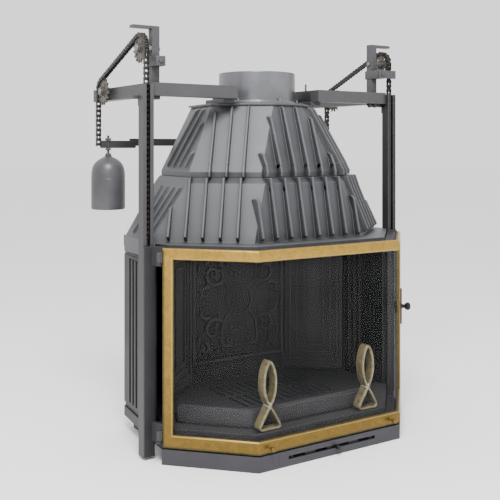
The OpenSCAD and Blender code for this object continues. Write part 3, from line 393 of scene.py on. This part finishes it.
def roller_at(k):
    """Place of roller k in the YZ plane, counted from where the front run meets the top sprocket."""
    if k <= 0:
        return Vector((TOP.y - WHEEL_R, TOP.z + k * PITCH))
    if k <= TURN_TOP:
        a = math.pi - k * STEP
        return Vector((TOP.y + WHEEL_R * math.cos(a), TOP.z + WHEEL_R * math.sin(a)))
    if k <= ARRIVE:
        start = Vector((TOP.y + WHEEL_R * math.cos(LEAVE), TOP.z + WHEEL_R * math.sin(LEAVE)))
        return start + (k - TURN_TOP) * PITCH * Vector((math.sin(LEAVE), -math.cos(LEAVE)))
    if k <= DROP:
        a = LEAVE - (k - ARRIVE) * STEP
        return Vector((REAR.y + WHEEL_R * math.cos(a), REAR.z + WHEEL_R * math.sin(a)))
    return Vector((REAR.y + WHEEL_R, REAR.z - (k - DROP) * PITCH))


def waisted(p, q, r):
    """Outline of a chain plate: two round ends and a narrower waist."""
    along = (q - p).normalized()
    across = Vector((-along[1], along[0]))
    points = []
    for centre, sign in ((q, 1), (p, -1)):
        for i in range(END_FACES + 1):
            a = -math.pi / 2 * END_SWEEP + math.pi * END_SWEEP * i / END_FACES
            points.append(centre + sign * r * (along * math.cos(a) + across * math.sin(a)))
        middle = (p + q) / 2
        points.append(middle + sign * across * r * WAIST)
    return points


def chain_piece(name, side, k0, k1, shrink=0.0, first_pin=True, body=None):
    """The links from roller k0 to roller k1, drawn in by shrink all round."""
    bm = bmesh.new()
    x = side * COLUMN_X
    for k in range(k0, k1 + 1):
        if k == k0 and not first_pin:
            continue
        y, z = roller_at(k)
        half = INNER_W / 2 - shrink
        turned(bm, [(-half, ROLLER_R - shrink), (half, ROLLER_R - shrink)], (x, y, z), (1, 0, 0), 14)
        half = INNER_W / 2 + 2 * PLATE_T + PIN_PROUD - shrink
        flat = half - PIN_CHAMFER
        turned(bm, [(-half, PIN_R * PIN_TIP), (-flat, PIN_R), (flat, PIN_R), (half, PIN_R * PIN_TIP)],
               (x, y, z), (1, 0, 0), 12)
    for k in range(k0, k1):
        offset = INNER_W / 2 + PLATE_T / 2 + (0 if k % 2 == 0 else PLATE_T)
        for hand in (-1, 1):
            slab(bm, waisted(roller_at(k), roller_at(k + 1), PLATE_R - shrink), x + hand * offset,
                 PLATE_T - 2 * shrink)
    return mesh_piece(name, bm, "chain_steel", body)


def follow(obj, a, b, share):
    """Hangs obj on body a when the share is none and on body b when it is whole; for any share between, its place is
    baked into its mesh and it rides on no body.
    """
    if share <= 0:
        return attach(obj, a)
    if share >= 1:
        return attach(obj, b)
    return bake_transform(obj)


def chain(hand, side):
    """One whole chain. Its straight runs are in groups that nest when the run is short."""
    group = FRONT_LINKS - LIFT_LINKS
    for i in range(FRONT_LINKS // group):
        k0 = -FRONT_LINKS + i * group
        share = 1 - i * group / LIFT_LINKS
        name = "chain_front_%s_%d" % (hand, i + 1)
        piece = chain_piece(name, side, k0, k0 + group, NEST * i, first_pin=i == 0)
        follow(piece, "insert", "carriage", share)
        if i == 0:
            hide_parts("chain_front_" + hand)
    piece = chain_piece("chain_over_" + hand, side, 0, DROP, body="insert")
    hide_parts("chain_upper_" + hand)
    last = DROP + REAR_LINKS
    piece = chain_piece("chain_rear_%s_0" % hand, side, DROP, last, body="insert")
    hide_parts("chain_rear_" + hand)
    for i in range(1, LIFT_LINKS // REAR_GROUP + 1):
        piece = chain_piece("chain_rear_%s_%d" % (hand, i), side, last - REAR_GROUP, last, NEST * i)
        follow(piece, "insert", "weights", i * REAR_GROUP / LIFT_LINKS)


for hand, side in HANDS:
    chain(hand, side)


# fireback, its relief in millimetres

# Scrolls of one quarter: centre from the middle, radius, first angle, turns and sense
SCROLLS = ((86, 78, 36, -2.5, 1.7, 1), (38, 112, 25, -0.6, 1.5, 1),
           (112, 26, 20, 2.2, 1.4, -1), (114, 126, 17, -1.9, 1.4, -1))
# Stem of one quarter, from the rings to the scrolls
STEM = ((30, 32), (44, 44), (52, 58), (56, 74), (58, 90))
# Width at the start, width at the end and height of the scrolls' strands and of the stems
SCROLL_STRAND = (5.2, 1.8, 4.6)
STEM_STRAND = (4, 3, 4)
# Single leaves of one quarter: foot and heading
LEAVES = ((60, 24, 0.4), (62, 34, 1.1), (14, 62, 1.7), (24, 66, 1.2), (128, 88, 1.5), (64, 136, 0.2),
          (86, 138, -0.1))
# Radius and height of the bosses in the middle and in the fans
MIDDLE_BOSS = (8, 6.5)
FAN_BOSS = (7, 5)
# Rings round the middle rosette: radius, half width and height
RINGS = ((41, 3, 3.5), (47, 1.6, 2.5))
# Leaf wreaths of the middle rosette: turn in leaves, length, width and height
WREATHS = ((0, 34, 7.5, 4.2), (0.5, 24, 5, 5.5))
# Height of the leaf fans above and below the middle
FAN_Z = 78
# Points in a whole turn of a scroll
SPIRAL_STEPS = 26
# The plate itself, in metres: thickness behind the relief, plain foot, width of the moulded frame, mesh step
PLATE_THICK = 0.009
FOOT_HEIGHT = 0.069
FRAME_MARGIN = 0.0145
RELIEF_STEP = 0.0014
# Mouldings of the frame: height, place from the edge and half width
BEAD = (0.0045, 0.007, 0.005)
FILLET = (0.0014, 0.0133, 0.0009)
RELIEF_GAIN = 1.35


def dome(d):
    """A half round over -1 to 1."""
    return np.sqrt(np.clip(1 - d ** 2, 0, 1))


def spiral(cx, cz, r0, a0, turns, sense, shrink=0.1):
    """Points of a scroll that winds in from radius r0."""
    points = []
    n = int(SPIRAL_STEPS * turns)
    for i in range(n + 1):
        t = i / n
        r = r0 * shrink ** t
        a = a0 + sense * 2 * math.pi * turns * t
        points.append((cx + r * math.cos(a), cz + r * math.sin(a)))
    return points


def stroke(height, gx, gz, points, w0, w1, h):
    """Adds a rounded, tapering strand along the points to the height field."""
    best = np.zeros_like(height)
    n = len(points) - 1
    for i, (p, q) in enumerate(zip(points, points[1:])):
        px, pz = p
        dx, dz = q[0] - px, q[1] - pz
        t = np.clip(((gx - px) * dx + (gz - pz) * dz) / max(dx * dx + dz * dz, 1e-9), 0, 1)
        d = np.hypot(gx - px - t * dx, gz - pz - t * dz)
        w = w0 + (w1 - w0) * (i + t) / n
        best = np.maximum(best, h * dome(d / w) * (0.55 + 0.45 * w / max(w0, w1)))
    np.maximum(height, best, out=height)


def leaf(height, gx, gz, x, z, angle, length, width, h):
    """Adds a pointed leaf with a sunk vein."""
    c, s = math.cos(angle), math.sin(angle)
    u = ((gx - x) * c + (gz - z) * s) / length
    v = (-(gx - x) * s + (gz - z) * c) / width
    inside = np.clip(u, 0, 1)
    half = np.sin(np.pi * inside ** 0.8) * (u > 0) * (u < 1)
    shape = dome(v / np.maximum(half, 1e-3)) * (half > 0.02)
    vein = 1 - 0.45 * np.exp(-(v * width / 0.9) ** 2)
    np.maximum(height, h * shape * vein * (0.6 + 0.4 * half), out=height)


def relief_height(gx, gz, mid):
    """Scrolls, leaves and rosettes, the same to left and right."""
    height = np.zeros_like(gx)
    for shift, length, width, h in WREATHS:
        for i in range(12):
            leaf(height, gx, gz, 0, mid, math.pi * (i + shift) / 6, length, width, h)
    d = np.hypot(gx, gz - mid)
    np.maximum(height, MIDDLE_BOSS[1] * dome(d / MIDDLE_BOSS[0]), out=height)
    for radius, width, h in RINGS:
        np.maximum(height, h * dome((d - radius) / width), out=height)
    for side in (-1, 1):
        for up in (-1, 1):
            def at(x, z):
                return side * x, mid + up * z
            for cx, cz, r, a, turns, sense in SCROLLS:
                points = [at(*p) for p in spiral(cx, cz, r, a, turns, sense)]
                stroke(height, gx, gz, points, *SCROLL_STRAND)
                for k in range(1, len(points) * 2 // 3, 5):
                    (x0, z0), (x1, z1) = points[k - 1], points[k]
                    heading = math.atan2(z1 - z0, x1 - x0) - side * up * sense
                    leaf(height, gx, gz, x0, z0, heading, 15 + 6 * (r > 30), 4.2, 3.6)
            stroke(height, gx, gz, [at(*p) for p in STEM], *STEM_STRAND)
            for x, z, a in LEAVES:
                heading = math.atan2(up * math.sin(a), side * math.cos(a))
                leaf(height, gx, gz, *at(x, z), heading, 20, 5, 3.4)
    for up in (-1, 1):
        for i in range(-3, 4):
            heading = up * math.pi / 2 + i * 0.36
            leaf(height, gx, gz, 0, mid + up * FAN_Z, heading, 52 - 4 * abs(i), 6, 4.2)
        d = np.hypot(gx, gz - mid - up * FAN_Z)
        np.maximum(height, FAN_BOSS[1] * dome(d / FAN_BOSS[0]), out=height)
    return height


def fireback():
    """The whole middle plate: plain foot, moulded frame and relief, as one closed mesh."""
    low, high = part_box("fireback")
    face = high.y - PLATE_THICK
    foot_top = low.z + FOOT_HEIGHT
    half = high.x
    nx = int(2 * half / RELIEF_STEP)
    nz = int((high.z - low.z) / RELIEF_STEP)
    gx, gz = np.meshgrid(np.linspace(-half, half, nx), np.linspace(low.z, high.z, nz))
    inset = np.minimum(half - np.abs(gx), np.minimum(gz - foot_top, high.z - gz))
    panel = np.clip((inset - FRAME_MARGIN) / 0.003, 0, 1)
    middle = (foot_top + high.z) * 500
    height = relief_height(gx * 1000, gz * 1000, middle) / 1000 * RELIEF_GAIN * panel
    bead = BEAD[0] * dome((inset - BEAD[1]) / BEAD[2])
    fillet = FILLET[0] * np.exp(-((inset - FILLET[1]) / FILLET[2]) ** 2)
    # Uneven casting skin
    rough = 0.00022 * np.sin(gx * 900 + 2 * np.sin(gz * 370)) * np.sin(gz * 800 + 2 * np.sin(gx * 310))
    height = np.maximum(height, np.maximum(bead, fillet)) + rough * panel
    y = face - np.maximum(height, 0)
    vertices = np.stack([gx, y, gz], -1).reshape(-1, 3).tolist()
    faces = [(j * nx + i, j * nx + i + 1, (j + 1) * nx + i + 1, (j + 1) * nx + i)
             for j in range(nz - 1) for i in range(nx - 1)]
    rim = list(range(nx)) + [(j + 1) * nx - 1 for j in range(1, nz)]
    rim += [(nz - 1) * nx + i for i in range(nx - 2, -1, -1)] + [j * nx for j in range(nz - 2, 0, -1)]
    back = len(vertices)
    vertices += [(vertices[i][0], high.y, vertices[i][2]) for i in rim]
    n = len(rim)
    faces += [(rim[i], back + i, back + (i + 1) % n, rim[(i + 1) % n]) for i in range(n)]
    faces.append(tuple(back + i for i in range(n - 1, -1, -1)))
    mesh = bpy.data.meshes.new("fireback_plate")
    mesh.from_pydata(vertices, [], faces)
    obj = bpy.data.objects.new("fireback_plate", mesh)
    bpy.context.scene.collection.objects.link(obj)
    mesh.materials.append(MATERIAL["lining_iron"])
    mesh.shade_smooth()
    mesh.set_sharp_from_angle(angle=1.2)
    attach(obj, "insert")
    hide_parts("fireback")


fireback()


# shapes that the details share

def block(bm, low, high, bevel=0.0008):
    """A box with rounded edges, given its two corners.

    It is made in a bmesh of its own. What a bevel deletes leaves free places that
    later faces would fill in another order from run to run.
    """
    box = bmesh.new()
    for v in bmesh.ops.create_cube(box, size=1.0)["verts"]:
        v.co = Vector([low[i] + (v.co[i] + 0.5) * (high[i] - low[i]) for i in range(3)])
    bmesh.ops.bevel(box, geom=list(box.edges), offset=bevel, segments=2, affect="EDGES", profile=0.5)
    mesh = bpy.data.meshes.new("block")
    box.to_mesh(mesh)
    box.free()
    bm.from_mesh(mesh)
    bpy.data.meshes.remove(mesh)


def prism(bm, plan, z0, z1):
    """An upright prism over a plan outline."""
    low = [bm.verts.new((x, y, z0)) for x, y in plan]
    high = [bm.verts.new((x, y, z1)) for x, y in plan]
    n = len(plan)
    for i in range(n):
        j = (i + 1) % n
        bm.faces.new((low[i], low[j], high[j], high[i]))
    bm.faces.new(low)
    bm.faces.new(high)


def skin(bm, rings):
    """Closes a chain of rings on itself, as the surface of a bent bar."""
    n = len(rings[0])
    for a, b in zip(rings, rings[1:] + rings[:1]):
        for i in range(n):
            j = (i + 1) % n
            bm.faces.new((a[i], a[j], b[j], b[i]))


def hexagon(bm, origin, axis, across, height, shank=0.0):
    """A hexagon nut or bolt head with a chamfered crown, and a shank end through it."""
    r = across / math.sqrt(3)
    turned(bm, [(0, r), (height * 0.82, r), (height, r * 0.86)], origin, axis, 6)
    if shank:
        turned(bm, [(height * 0.9, shank), (height * 1.5, shank), (height * 1.6, shank * 0.8)], origin, axis, 16)


# door frame

# The door's facets: width of the front, length and angle of the side ones, place of the front
FRONT_W = 0.430
FACET_L = 0.233
FACET_A = math.radians(46.5)
FRONT_Y = 0.334
DOOR_Z = 0.0375
DOOR_TOP = 0.5055
RAIL_BOTTOM = 0.033
RAIL_TOP = 0.027
STILE_W = 0.027
KNUCKLE_Z = (0.0538, 0.4708)
KNUCKLE_R = 0.006
KNUCKLE_H = 0.024
# The leaf that holds a knuckle: near and far depth behind the facet's face
LEAF_DEPTH = (0.0026, 0.0074)
# Depth and place of the hinge axis, measured as the facet's points are
HINGE_AT = (0.005, -0.008)


def facet_point(depth, s):
    """A plan point of the right facet: depth behind its face, s from its outer end."""
    c, n = math.cos(FACET_A), math.sin(FACET_A)
    return Vector((FRONT_W / 2 + FACET_L * c - depth * n - s * c, -FRONT_Y + FACET_L * n + depth * c - s * n))


def corner_point(depth):
    return Vector((FRONT_W / 2 - depth * math.tan(FACET_A / 2), -FRONT_Y + depth))


def brass_frame():
    """A moulded brass section carried round the three facets, mitred in its corners."""
    # Each entry is (inset in mm, from the outer edge 0 or the inner edge 1, depth in mm)
    section = [(0, 0, 10), (0, 0, 4.8), (0.7, 0, 3.2), (2.1, 0, 1.9), (4.2, 0, 0.9), (6.6, 0, 0.25), (9.0, 0, 0),
               (-4.8, 1, 0), (-3.9, 1, 0.3), (-2.2, 1, 1.9), (-0.9, 1, 2.6), (0, 1, 3.8), (0, 1, 10)]
    # Material of each face of the section, as indices of the materials below: painted shade on the outer rounding, the
    # inner edge and the back, a painted highlight on the inner bevel
    worn, painted_shade, painted_highlight = 0, 1, 2
    finish = [painted_shade] * 5 + [worn] * 3 + [painted_highlight, worn] + [painted_shade] * 3
    # Rings that start a stretch of the top rail, whose outer rounding gets no painted shade, as the light falls on it
    # from above
    top_rings = (4, 5, 6)
    bm = bmesh.new()
    rings = []
    for top in (False, True):
        for k in (range(3, -1, -1) if top else range(4)):
            side = -1 if k < 2 else 1
            ring = []
            for inset, inner, depth in section:
                inset, depth = inset / 1000, depth / 1000
                p = facet_point(depth, inset + inner * STILE_W) if k in (0, 3) else corner_point(depth)
                z = DOOR_TOP - inset - inner * RAIL_TOP if top else DOOR_Z + inset + inner * RAIL_BOTTOM
                ring.append(bm.verts.new((side * p.x, p.y, z)))
            rings.append(ring)
    skin(bm, rings)
    for k, face in enumerate(bm.faces):
        ring, part = divmod(k, len(finish))
        face.material_index = worn if ring in top_rings and 0 < part < 6 else finish[part]
    piece = mesh_piece("door_frame_brass", bm, "door_brass", "door", smooth=0.55)
    # The copies of the brass that carry the painted shade and the painted highlight
    for name in ("brass_painted_shade", "brass_painted_highlight"):
        piece.data.materials.append(MATERIAL[name])
    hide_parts("door_frame")


def hinge_knuckles():
    """Steel barrels on the frame's left end, each with the leaf that holds it."""
    axis = facet_point(*HINGE_AT)
    barrel = [(0, KNUCKLE_R - 0.0013), (0.0007, KNUCKLE_R), (KNUCKLE_H - 0.0007, KNUCKLE_R),
              (KNUCKLE_H, KNUCKLE_R - 0.0013)]
    near, far = LEAF_DEPTH
    plan = [facet_point(near, HINGE_AT[1]), facet_point(near, 0), facet_point(far, 0), facet_point(far, HINGE_AT[1])]
    for i, z in enumerate(KNUCKLE_Z):
        bm = bmesh.new()
        turned(bm, barrel, (-axis.x, axis.y, z), (0, 0, 1), 32)
        prism(bm, [(-p.x, p.y) for p in plan], z + 0.0004, z + KNUCKLE_H - 0.0004)
        mesh_piece("hinge_knuckle_%d" % (i + 1), bm, "frame_steel", "door")


brass_frame()
hinge_knuckles()


# counterweights

WEIGHT_R = 0.0452
WEIGHT_H = 0.143
# A fine groove turned round the weight below its shoulder
GROOVE_BELOW = 0.0595
GROOVE_DEPTH = 0.0007
# Shoulder of the weight: (distance below its top, radius) in mm
SHOULDER = [(57, 45.2), (50, 44.9), (44, 44.4), (38.5, 43.6), (33, 42.4), (28.5, 40.9), (24.5, 39.1), (21, 36.9),
            (17.5, 34.1), (14, 30.6), (11, 26.9), (8, 22.3), (5.5, 17.6), (3.5, 13.4), (2, 10.4), (0.6, 8.2), (0, 7.2)]
THREAD_PITCH = 0.0012
THREAD_R = (0.0031, 0.0035)
# How far the rod starts inside the weight, and ends above the beam's underside
ROD_ROOT = 0.002
ROD_TIP = 0.034
WASHER = [(0, 0.0092), (0.0006, 0.0098), (0.0016, 0.0098), (0.0022, 0.0092)]


def counterweight(hand):
    """The cast weight, and the threaded rod with its nuts that hangs it on the beam."""
    low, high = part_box("counterweight_" + hand)
    x, y = (low.x + high.x) / 2, (low.y + high.y) / 2
    groove = WEIGHT_H - GROOVE_BELOW
    profile = [(0, WEIGHT_R - 0.0035), (0.0012, WEIGHT_R - 0.0012), (0.0035, WEIGHT_R), (groove - 0.001, WEIGHT_R),
               (groove, WEIGHT_R - GROOVE_DEPTH), (groove + 0.001, WEIGHT_R)]
    profile += [(WEIGHT_H - below / 1000, radius / 1000) for below, radius in SHOULDER]
    bm = bmesh.new()
    turned(bm, profile, (x, y, low.z), (0, 0, 1), 96)
    mesh_piece("weight_body_" + hand, bm, "weight_iron", "weights", smooth=0.35)
    bm = bmesh.new()
    base = low.z + WEIGHT_H
    beam_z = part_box("counterweight_beam")[0].z
    thread = []
    z = -ROD_ROOT
    while base + z < beam_z + ROD_TIP:
        thread += [(z, THREAD_R[0]), (z + THREAD_PITCH / 2, THREAD_R[1])]
        z += THREAD_PITCH
    turned(bm, thread, (x, y, base), (0, 0, 1), 20)
    turned(bm, WASHER, (x, y, base - 0.0002), (0, 0, 1), 32)
    # Nuts on the weight, under the beam and over it: height of the seat, width and height of the nut
    for seat, across, thick in ((base + 0.0018, 0.013, 0.0055), (beam_z - 0.0062, 0.013, 0.0058),
                                (beam_z + 0.0204, 0.014, 0.0065)):
        hexagon(bm, (x, y, seat), (0, 0, 1), across, thick)
    piece = mesh_piece("weight_rod_" + hand, bm, "frame_steel", "weights")
    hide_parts("counterweight_" + hand)


for hand, side in HANDS:
    counterweight(hand)


# andirons

def smooth_loop(points, steps):
    """A closed curve through the points."""
    n = len(points)
    out = []
    for i in range(n):
        p0, p1, p2, p3 = (Vector(points[(i + k - 1) % n]) for k in range(4))
        for k in range(steps):
            t = k / steps
            out.append(0.5 * (2 * p1 + (p2 - p0) * t + (2 * p0 - 5 * p1 + 4 * p2 - p3) * t * t
                              + (3 * p1 - p0 - 3 * p2 + p3) * t * t * t))
    return out


ANDIRON_X = 0.151
# Middle line of the strap in mm, from the foot's middle up to the tip, which it reaches on the other side
ANDIRON_HALF = [(12, 3), (22, 3.1), (27.5, 6.5), (26.5, 13), (14, 35), (0, 57), (-9.6, 74), (-14.8, 92),
                (-16.6, 111), (-14.6, 131), (-8.8, 149.5)]
STRAP_T = 0.0060
STRAP_W = 0.027
STRAP_SOFT = 0.0020


def andiron(hand, side):
    """One thick strap, bent into a flat foot and a tall pointed loop."""
    points = [(0, 3)] + ANDIRON_HALF + [(0, 161)] + [(-x, z) for x, z in reversed(ANDIRON_HALF)]
    path = smooth_loop(points, 6)
    low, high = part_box("andiron_" + hand)
    x0 = side * ANDIRON_X
    section = []
    for cu, cv, start in ((1, 1, 0), (-1, 1, 90), (-1, -1, 180), (1, -1, 270)):
        for k in range(4):
            a = math.radians(start + 30 * k)
            section.append((cu * (STRAP_T / 2 - STRAP_SOFT) + STRAP_SOFT * math.cos(a),
                            cv * (STRAP_W / 2 - STRAP_SOFT) + STRAP_SOFT * math.sin(a)))
    bm = bmesh.new()
    rings = []
    n = len(path)
    for i, p in enumerate(path):
        along = (path[(i + 1) % n] - path[i - 1]).normalized()
        normal = Vector((-along[1], along[0]))
        rings.append([bm.verts.new((x0 + p[0] / 1000 + u * normal[0], (low.y + high.y) / 2 + v,
                                    low.z + p[1] / 1000 + u * normal[1])) for u, v in section])
    skin(bm, rings)
    piece = mesh_piece("andiron_strap_" + hand, bm, "andiron_enamel", "insert", smooth=0.8)
    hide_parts("andiron_" + hand)


for hand, side in HANDS:
    andiron(hand, side)


# door knobs

KNOB = [(0, 0.0052), (0.0012, 0.0052), (0.0018, 0.0030), (0.0082, 0.0026), (0.0096, 0.0044), (0.0120, 0.0060),
        (0.0146, 0.0064), (0.0168, 0.0056), (0.0182, 0.0034), (0.0187, 0)]
# Place of a knob's axis: inwards from the solids' ends, and above their middle
KNOB_IN = 0.0095
KNOB_UP = 0.002


def door_knobs():
    """The two small turned knobs on the bottom rail."""
    low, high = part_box("door_knobs")
    bm = bmesh.new()
    for side in (-1, 1):
        at = (side * (high.x - KNOB_IN), high.y, (low.z + high.z) / 2 + KNOB_UP)
        turned(bm, KNOB, at, (0, -1, 0), 32)
    piece = mesh_piece("door_knobs_turned", bm, "door_brass", "door", smooth=0.5)
    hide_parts("door_knobs")


door_knobs()


# hood ribs, carried on over the shoulder to the seam

# Half rings of the two castings in plan, in mm: front corner, side corner, back corner
HOOD = {"foot": ((166.0, -240.5), (359.1, -72.0), (331.0, 128.0)),
        "shoulder": ((120.0, -216.5), (267.1, -89.0), (245.0, 125.0)),
        "rim": ((117.0, -197.0), (257.1, -75.0), (234.0, 123.0)),
        "seam": ((115.0, -194.0), (253.1, -74.0), (230.0, 121.0)),
        "crown": ((42.0, -141.5), (163.0, -36.5), (138.0, 116.0))}
FLANGE_Z, SHOULDER_Z, SEAM_Z, LIP_Z, CROWN_Z = 510.5, 651.5, 667.5, 679.5, 855.5
RIB_PITCH = 42.6
RIB_W = 6.5
RIB_CHAMFER = 2
# How far a rib stands out of the lower and the upper casting, and its root reaches into them
RIB_LOW = 12
RIB_HIGH = 18
RIB_ROOT = 3
# Share of the casting's slope at which a rib's end starts
LOW_START = 0.86
HIGH_START = 0.09
# Gap between the castings' ribs at the seam
RIB_GAP = 1.8


def facet_ends(ring, k):
    """Start and end of a facet's edge in plan: 0 the front's right half, 1 the diagonal, 2 the flank."""
    corners = [Vector(p) for p in HOOD[ring]]
    return (Vector((0, corners[0].y)), corners[0]) if k == 0 else (corners[k - 1], corners[k])


def rib_end(bm, side, ring_name, k, u, stations):
    """A bar through stations, each an inner and an outer point as (inset from the named ring, z)."""
    a, b = facet_ends(ring_name, k)
    along = (b - a).normalized()
    inward = Vector((-along.y, along.x))
    rings = []
    for inner, outer in stations:
        inner, outer = Vector(inner), Vector(outer)
        crest = outer + (inner - outer).normalized() * RIB_CHAMFER
        ring = []
        for point, across in ((inner, -1), (crest, -1), (outer, -0.5), (outer, 0.5), (crest, 1), (inner, 1)):
            p = a + along * (u + across * RIB_W / 2) + inward * point[0]
            ring.append(bm.verts.new((side * p.x / 1000, p.y / 1000, point[1] / 1000)))
        rings.append(ring)
    for p, q in zip(rings, rings[1:]):
        for i in range(6):
            j = (i + 1) % 6
            bm.faces.new((p[i], p[j], q[j], q[i]))
    bm.faces.new(rings[0])
    bm.faces.new(rings[-1])


def inset_at(ring, low, k, u):
    """How far a ring lies inside the low ring's facet at the distance u along it."""
    a, b = facet_ends(low, k)
    along = (b - a).normalized()
    inward = Vector((-along.y, along.x))
    p, q = facet_ends(ring, k)
    pu, qu = (p - a).dot(along), (q - a).dot(along)
    t = (u - pu) / (qu - pu)
    return (p - a).dot(inward) * (1 - t) + (q - a).dot(inward) * t


def facet_slope(top, low, k, u, rise):
    """How far a hood facet leans in, and the directions up it and out of it as (inset, z)."""
    run = inset_at(top, low, k, u)
    slope = Vector((run, rise)).normalized()
    return run, slope, Vector((-slope.y, slope.x))


def hood_rib_ends():
    """Upper ends of the lower casting's ribs and lower ends of the upper one's."""
    bm = bmesh.new()
    for side in (-1, 1):
        lower = [(0, RIB_PITCH * (i + 0.5)) for i in range(3)] + [(1, RIB_PITCH * (i + 0.93)) for i in range(4)]
        rise = SHOULDER_Z - FLANGE_Z
        for k, u in lower:
            run, slope, out = facet_slope("shoulder", "foot", k, u, rise)
            start, end = (Vector((run * v, FLANGE_Z + rise * v)) for v in (LOW_START, 1.0))
            tip = end + out * RIB_LOW
            tip += slope * (SEAM_Z - RIB_GAP - tip.y) / slope.y
            heel = (inset_at("rim", "foot", k, u) + 2, SEAM_Z - RIB_GAP)
            rib_end(bm, side, "foot", k, u, [(start - out * RIB_ROOT, start + out * RIB_LOW),
                                             (end - out * RIB_ROOT, end + out * RIB_LOW), (heel, tip)])
        upper = [(0, RIB_PITCH * (i + 0.5)) for i in range(3)] + [(1, RIB_PITCH * (i + 1)) for i in range(3)]
        rise = CROWN_Z - LIP_Z
        for k, u in upper:
            run, slope, out = facet_slope("crown", "seam", k, u, rise)
            start = Vector((run * HIGH_START, LIP_Z + rise * HIGH_START))
            crest = start + out * RIB_HIGH
            foot = crest.x - slope.x * (crest.y - LIP_Z) / slope.y
            rib_end(bm, side, "seam", k, u, [(start - out * RIB_ROOT, crest), ((RIB_ROOT, LIP_Z), (foot, LIP_Z)),
                                             ((RIB_ROOT, SEAM_Z + 1), (foot + 1, SEAM_Z + 1))])
    mesh_piece("hood_rib_ends", bm, "hood_iron", "insert", smooth=0)


hood_rib_ends()


# small things that the photo shows on the base and the arms

TRAY_TOP = 0.033
ARM_BOLT_X = (0.322, 0.342)
ARM_STUD = (0.150, -0.022, 0.8655)


def register_seam():
    """The dark joint line at the left end of the register's strip."""
    low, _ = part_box("air_register_panel")
    bm = bmesh.new()
    block(bm, (low.x - 0.0004, low.y - 0.0003, low.z), (low.x + 0.0014, low.y + 0.0006, TRAY_TOP), 0.0001)
    mesh_piece("register_seam", bm, "carrier_black", "insert")


def arm_channel(hand, side):
    """The dark channel on the inner face of a cross arm."""
    low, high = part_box("cross_arm_" + hand)
    inner = min(abs(low.x), abs(high.x)) + 0.005
    bm = bmesh.new()
    x0, x1 = sorted((side * (inner - 0.0006), side * (inner + 0.003)))
    block(bm, (x0, low.y + 0.034, high.z - 0.0285), (x1, high.y - 0.004, high.z - 0.0035), 0.0005)
    mesh_piece("arm_channel_" + hand, bm, "carrier_black", "insert")


def arm_bolts():
    """Two bolts under the right arm and a stud by its inner end. The photo shows none on the left."""
    low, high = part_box("cross_arm_right")
    bm = bmesh.new()
    for x in ARM_BOLT_X:
        hexagon(bm, (x, low.y + 0.015, high.z - 0.0318), (0, 0, -1), 0.013, 0.007, 0.0035)
    turned(bm, [(0, 0.0026), (0.052, 0.0026), (0.053, 0.002)], ARM_STUD, (0, 0, 1), 16)
    hexagon(bm, ARM_STUD, (0, 0, 1), 0.011, 0.006)
    mesh_piece("arm_bolts_right", bm, "carrier_black", "insert")


register_seam()
for hand, side in HANDS:
    arm_channel(hand, side)
arm_bolts()


# guide blocks

GUIDE_X = (0.3375, 0.3625)
GUIDE_Y = (-0.112, -0.0565)
GUIDE_BOLT_X = 0.350
# Plate on the right clamp: its ends, and its front and back
GUARD_X = (0.3385, 0.4010)
GUARD_Y = (-0.1182, -0.1135)


def guide(hand, side):
    """A clamp round the post. The right one carries a plate that runs past the chain."""
    bm = bmesh.new()
    low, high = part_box("guide_block_" + hand)
    x0, x1 = sorted(side * x for x in GUIDE_X)
    block(bm, (x0, GUIDE_Y[0], low.z), (x1, GUIDE_Y[1], high.z), 0.0012)
    front = GUIDE_Y[0]
    if side > 0:
        block(bm, (GUARD_X[0], GUARD_Y[0], low.z + 0.0005), (GUARD_X[1], GUARD_Y[1], high.z - 0.0005), 0.0008)
        front = GUARD_Y[0]
    hexagon(bm, (side * GUIDE_BOLT_X, front + 0.0002, (low.z + high.z) / 2), (0, -1, 0), 0.010, 0.004)
    piece = mesh_piece("chain_guide_" + hand, bm, "frame_steel", "insert")
    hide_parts("guide_block_" + hand)


for hand, side in HANDS:
    guide(hand, side)


# stage

FLOOR_R = 30
SKY_STRENGTH = 1.5
KEY_AT = Vector((-1.02, -1.45, 2.45))
KEY_TARGET = Vector((0, 0, 0.5))
KEY_SIZE = 0.9
KEY_POWER = 110
# The photo's viewpoint. The camera looks level and is shifted, so that upright lines stay upright
CAMERA_AT = (-1.283, -1.941, 0.7405)
CAMERA_TURN = math.radians(-33)
CAMERA_LENS = 61.2
CAMERA_SHIFT = -0.2048


def floor():
    bm = bmesh.new()
    bmesh.ops.create_circle(bm, cap_ends=True, radius=FLOOR_R, segments=96)
    mesh = bpy.data.meshes.new("floor")
    bm.to_mesh(mesh)
    bm.free()
    obj = bpy.data.objects.new("floor", mesh)
    bpy.context.scene.collection.objects.link(obj)
    mesh.materials.append(MATERIAL["floor"])


def key_lamp():
    """One soft lamp from the front left and above."""
    data = bpy.data.lights.new("key", "AREA")
    data.shape = "RECTANGLE"
    data.size = KEY_SIZE
    data.size_y = KEY_SIZE
    data.energy = KEY_POWER
    obj = bpy.data.objects.new("key", data)
    bpy.context.scene.collection.objects.link(obj)
    obj.location = KEY_AT
    obj.rotation_euler = (KEY_TARGET - KEY_AT).to_track_quat("-Z", "Y").to_euler()


def stage():
    floor()
    world = bpy.data.worlds.new("studio")
    world.use_nodes = True
    world.node_tree.nodes["Background"].inputs["Color"].default_value = (1, 1, 1, 1)
    world.node_tree.nodes["Background"].inputs["Strength"].default_value = SKY_STRENGTH
    bpy.context.scene.world = world
    key_lamp()


def camera():
    """The photo's view, in a square frame."""
    data = bpy.data.cameras.new("camera")
    data.lens = CAMERA_LENS
    data.sensor_width = 36
    data.sensor_fit = "AUTO"
    data.shift_y = CAMERA_SHIFT
    obj = bpy.data.objects.new("camera", data)
    bpy.context.scene.collection.objects.link(obj)
    obj.location = CAMERA_AT
    obj.rotation_euler = (math.radians(90), 0, CAMERA_TURN)
    bpy.context.scene.camera = obj


stage()
camera()
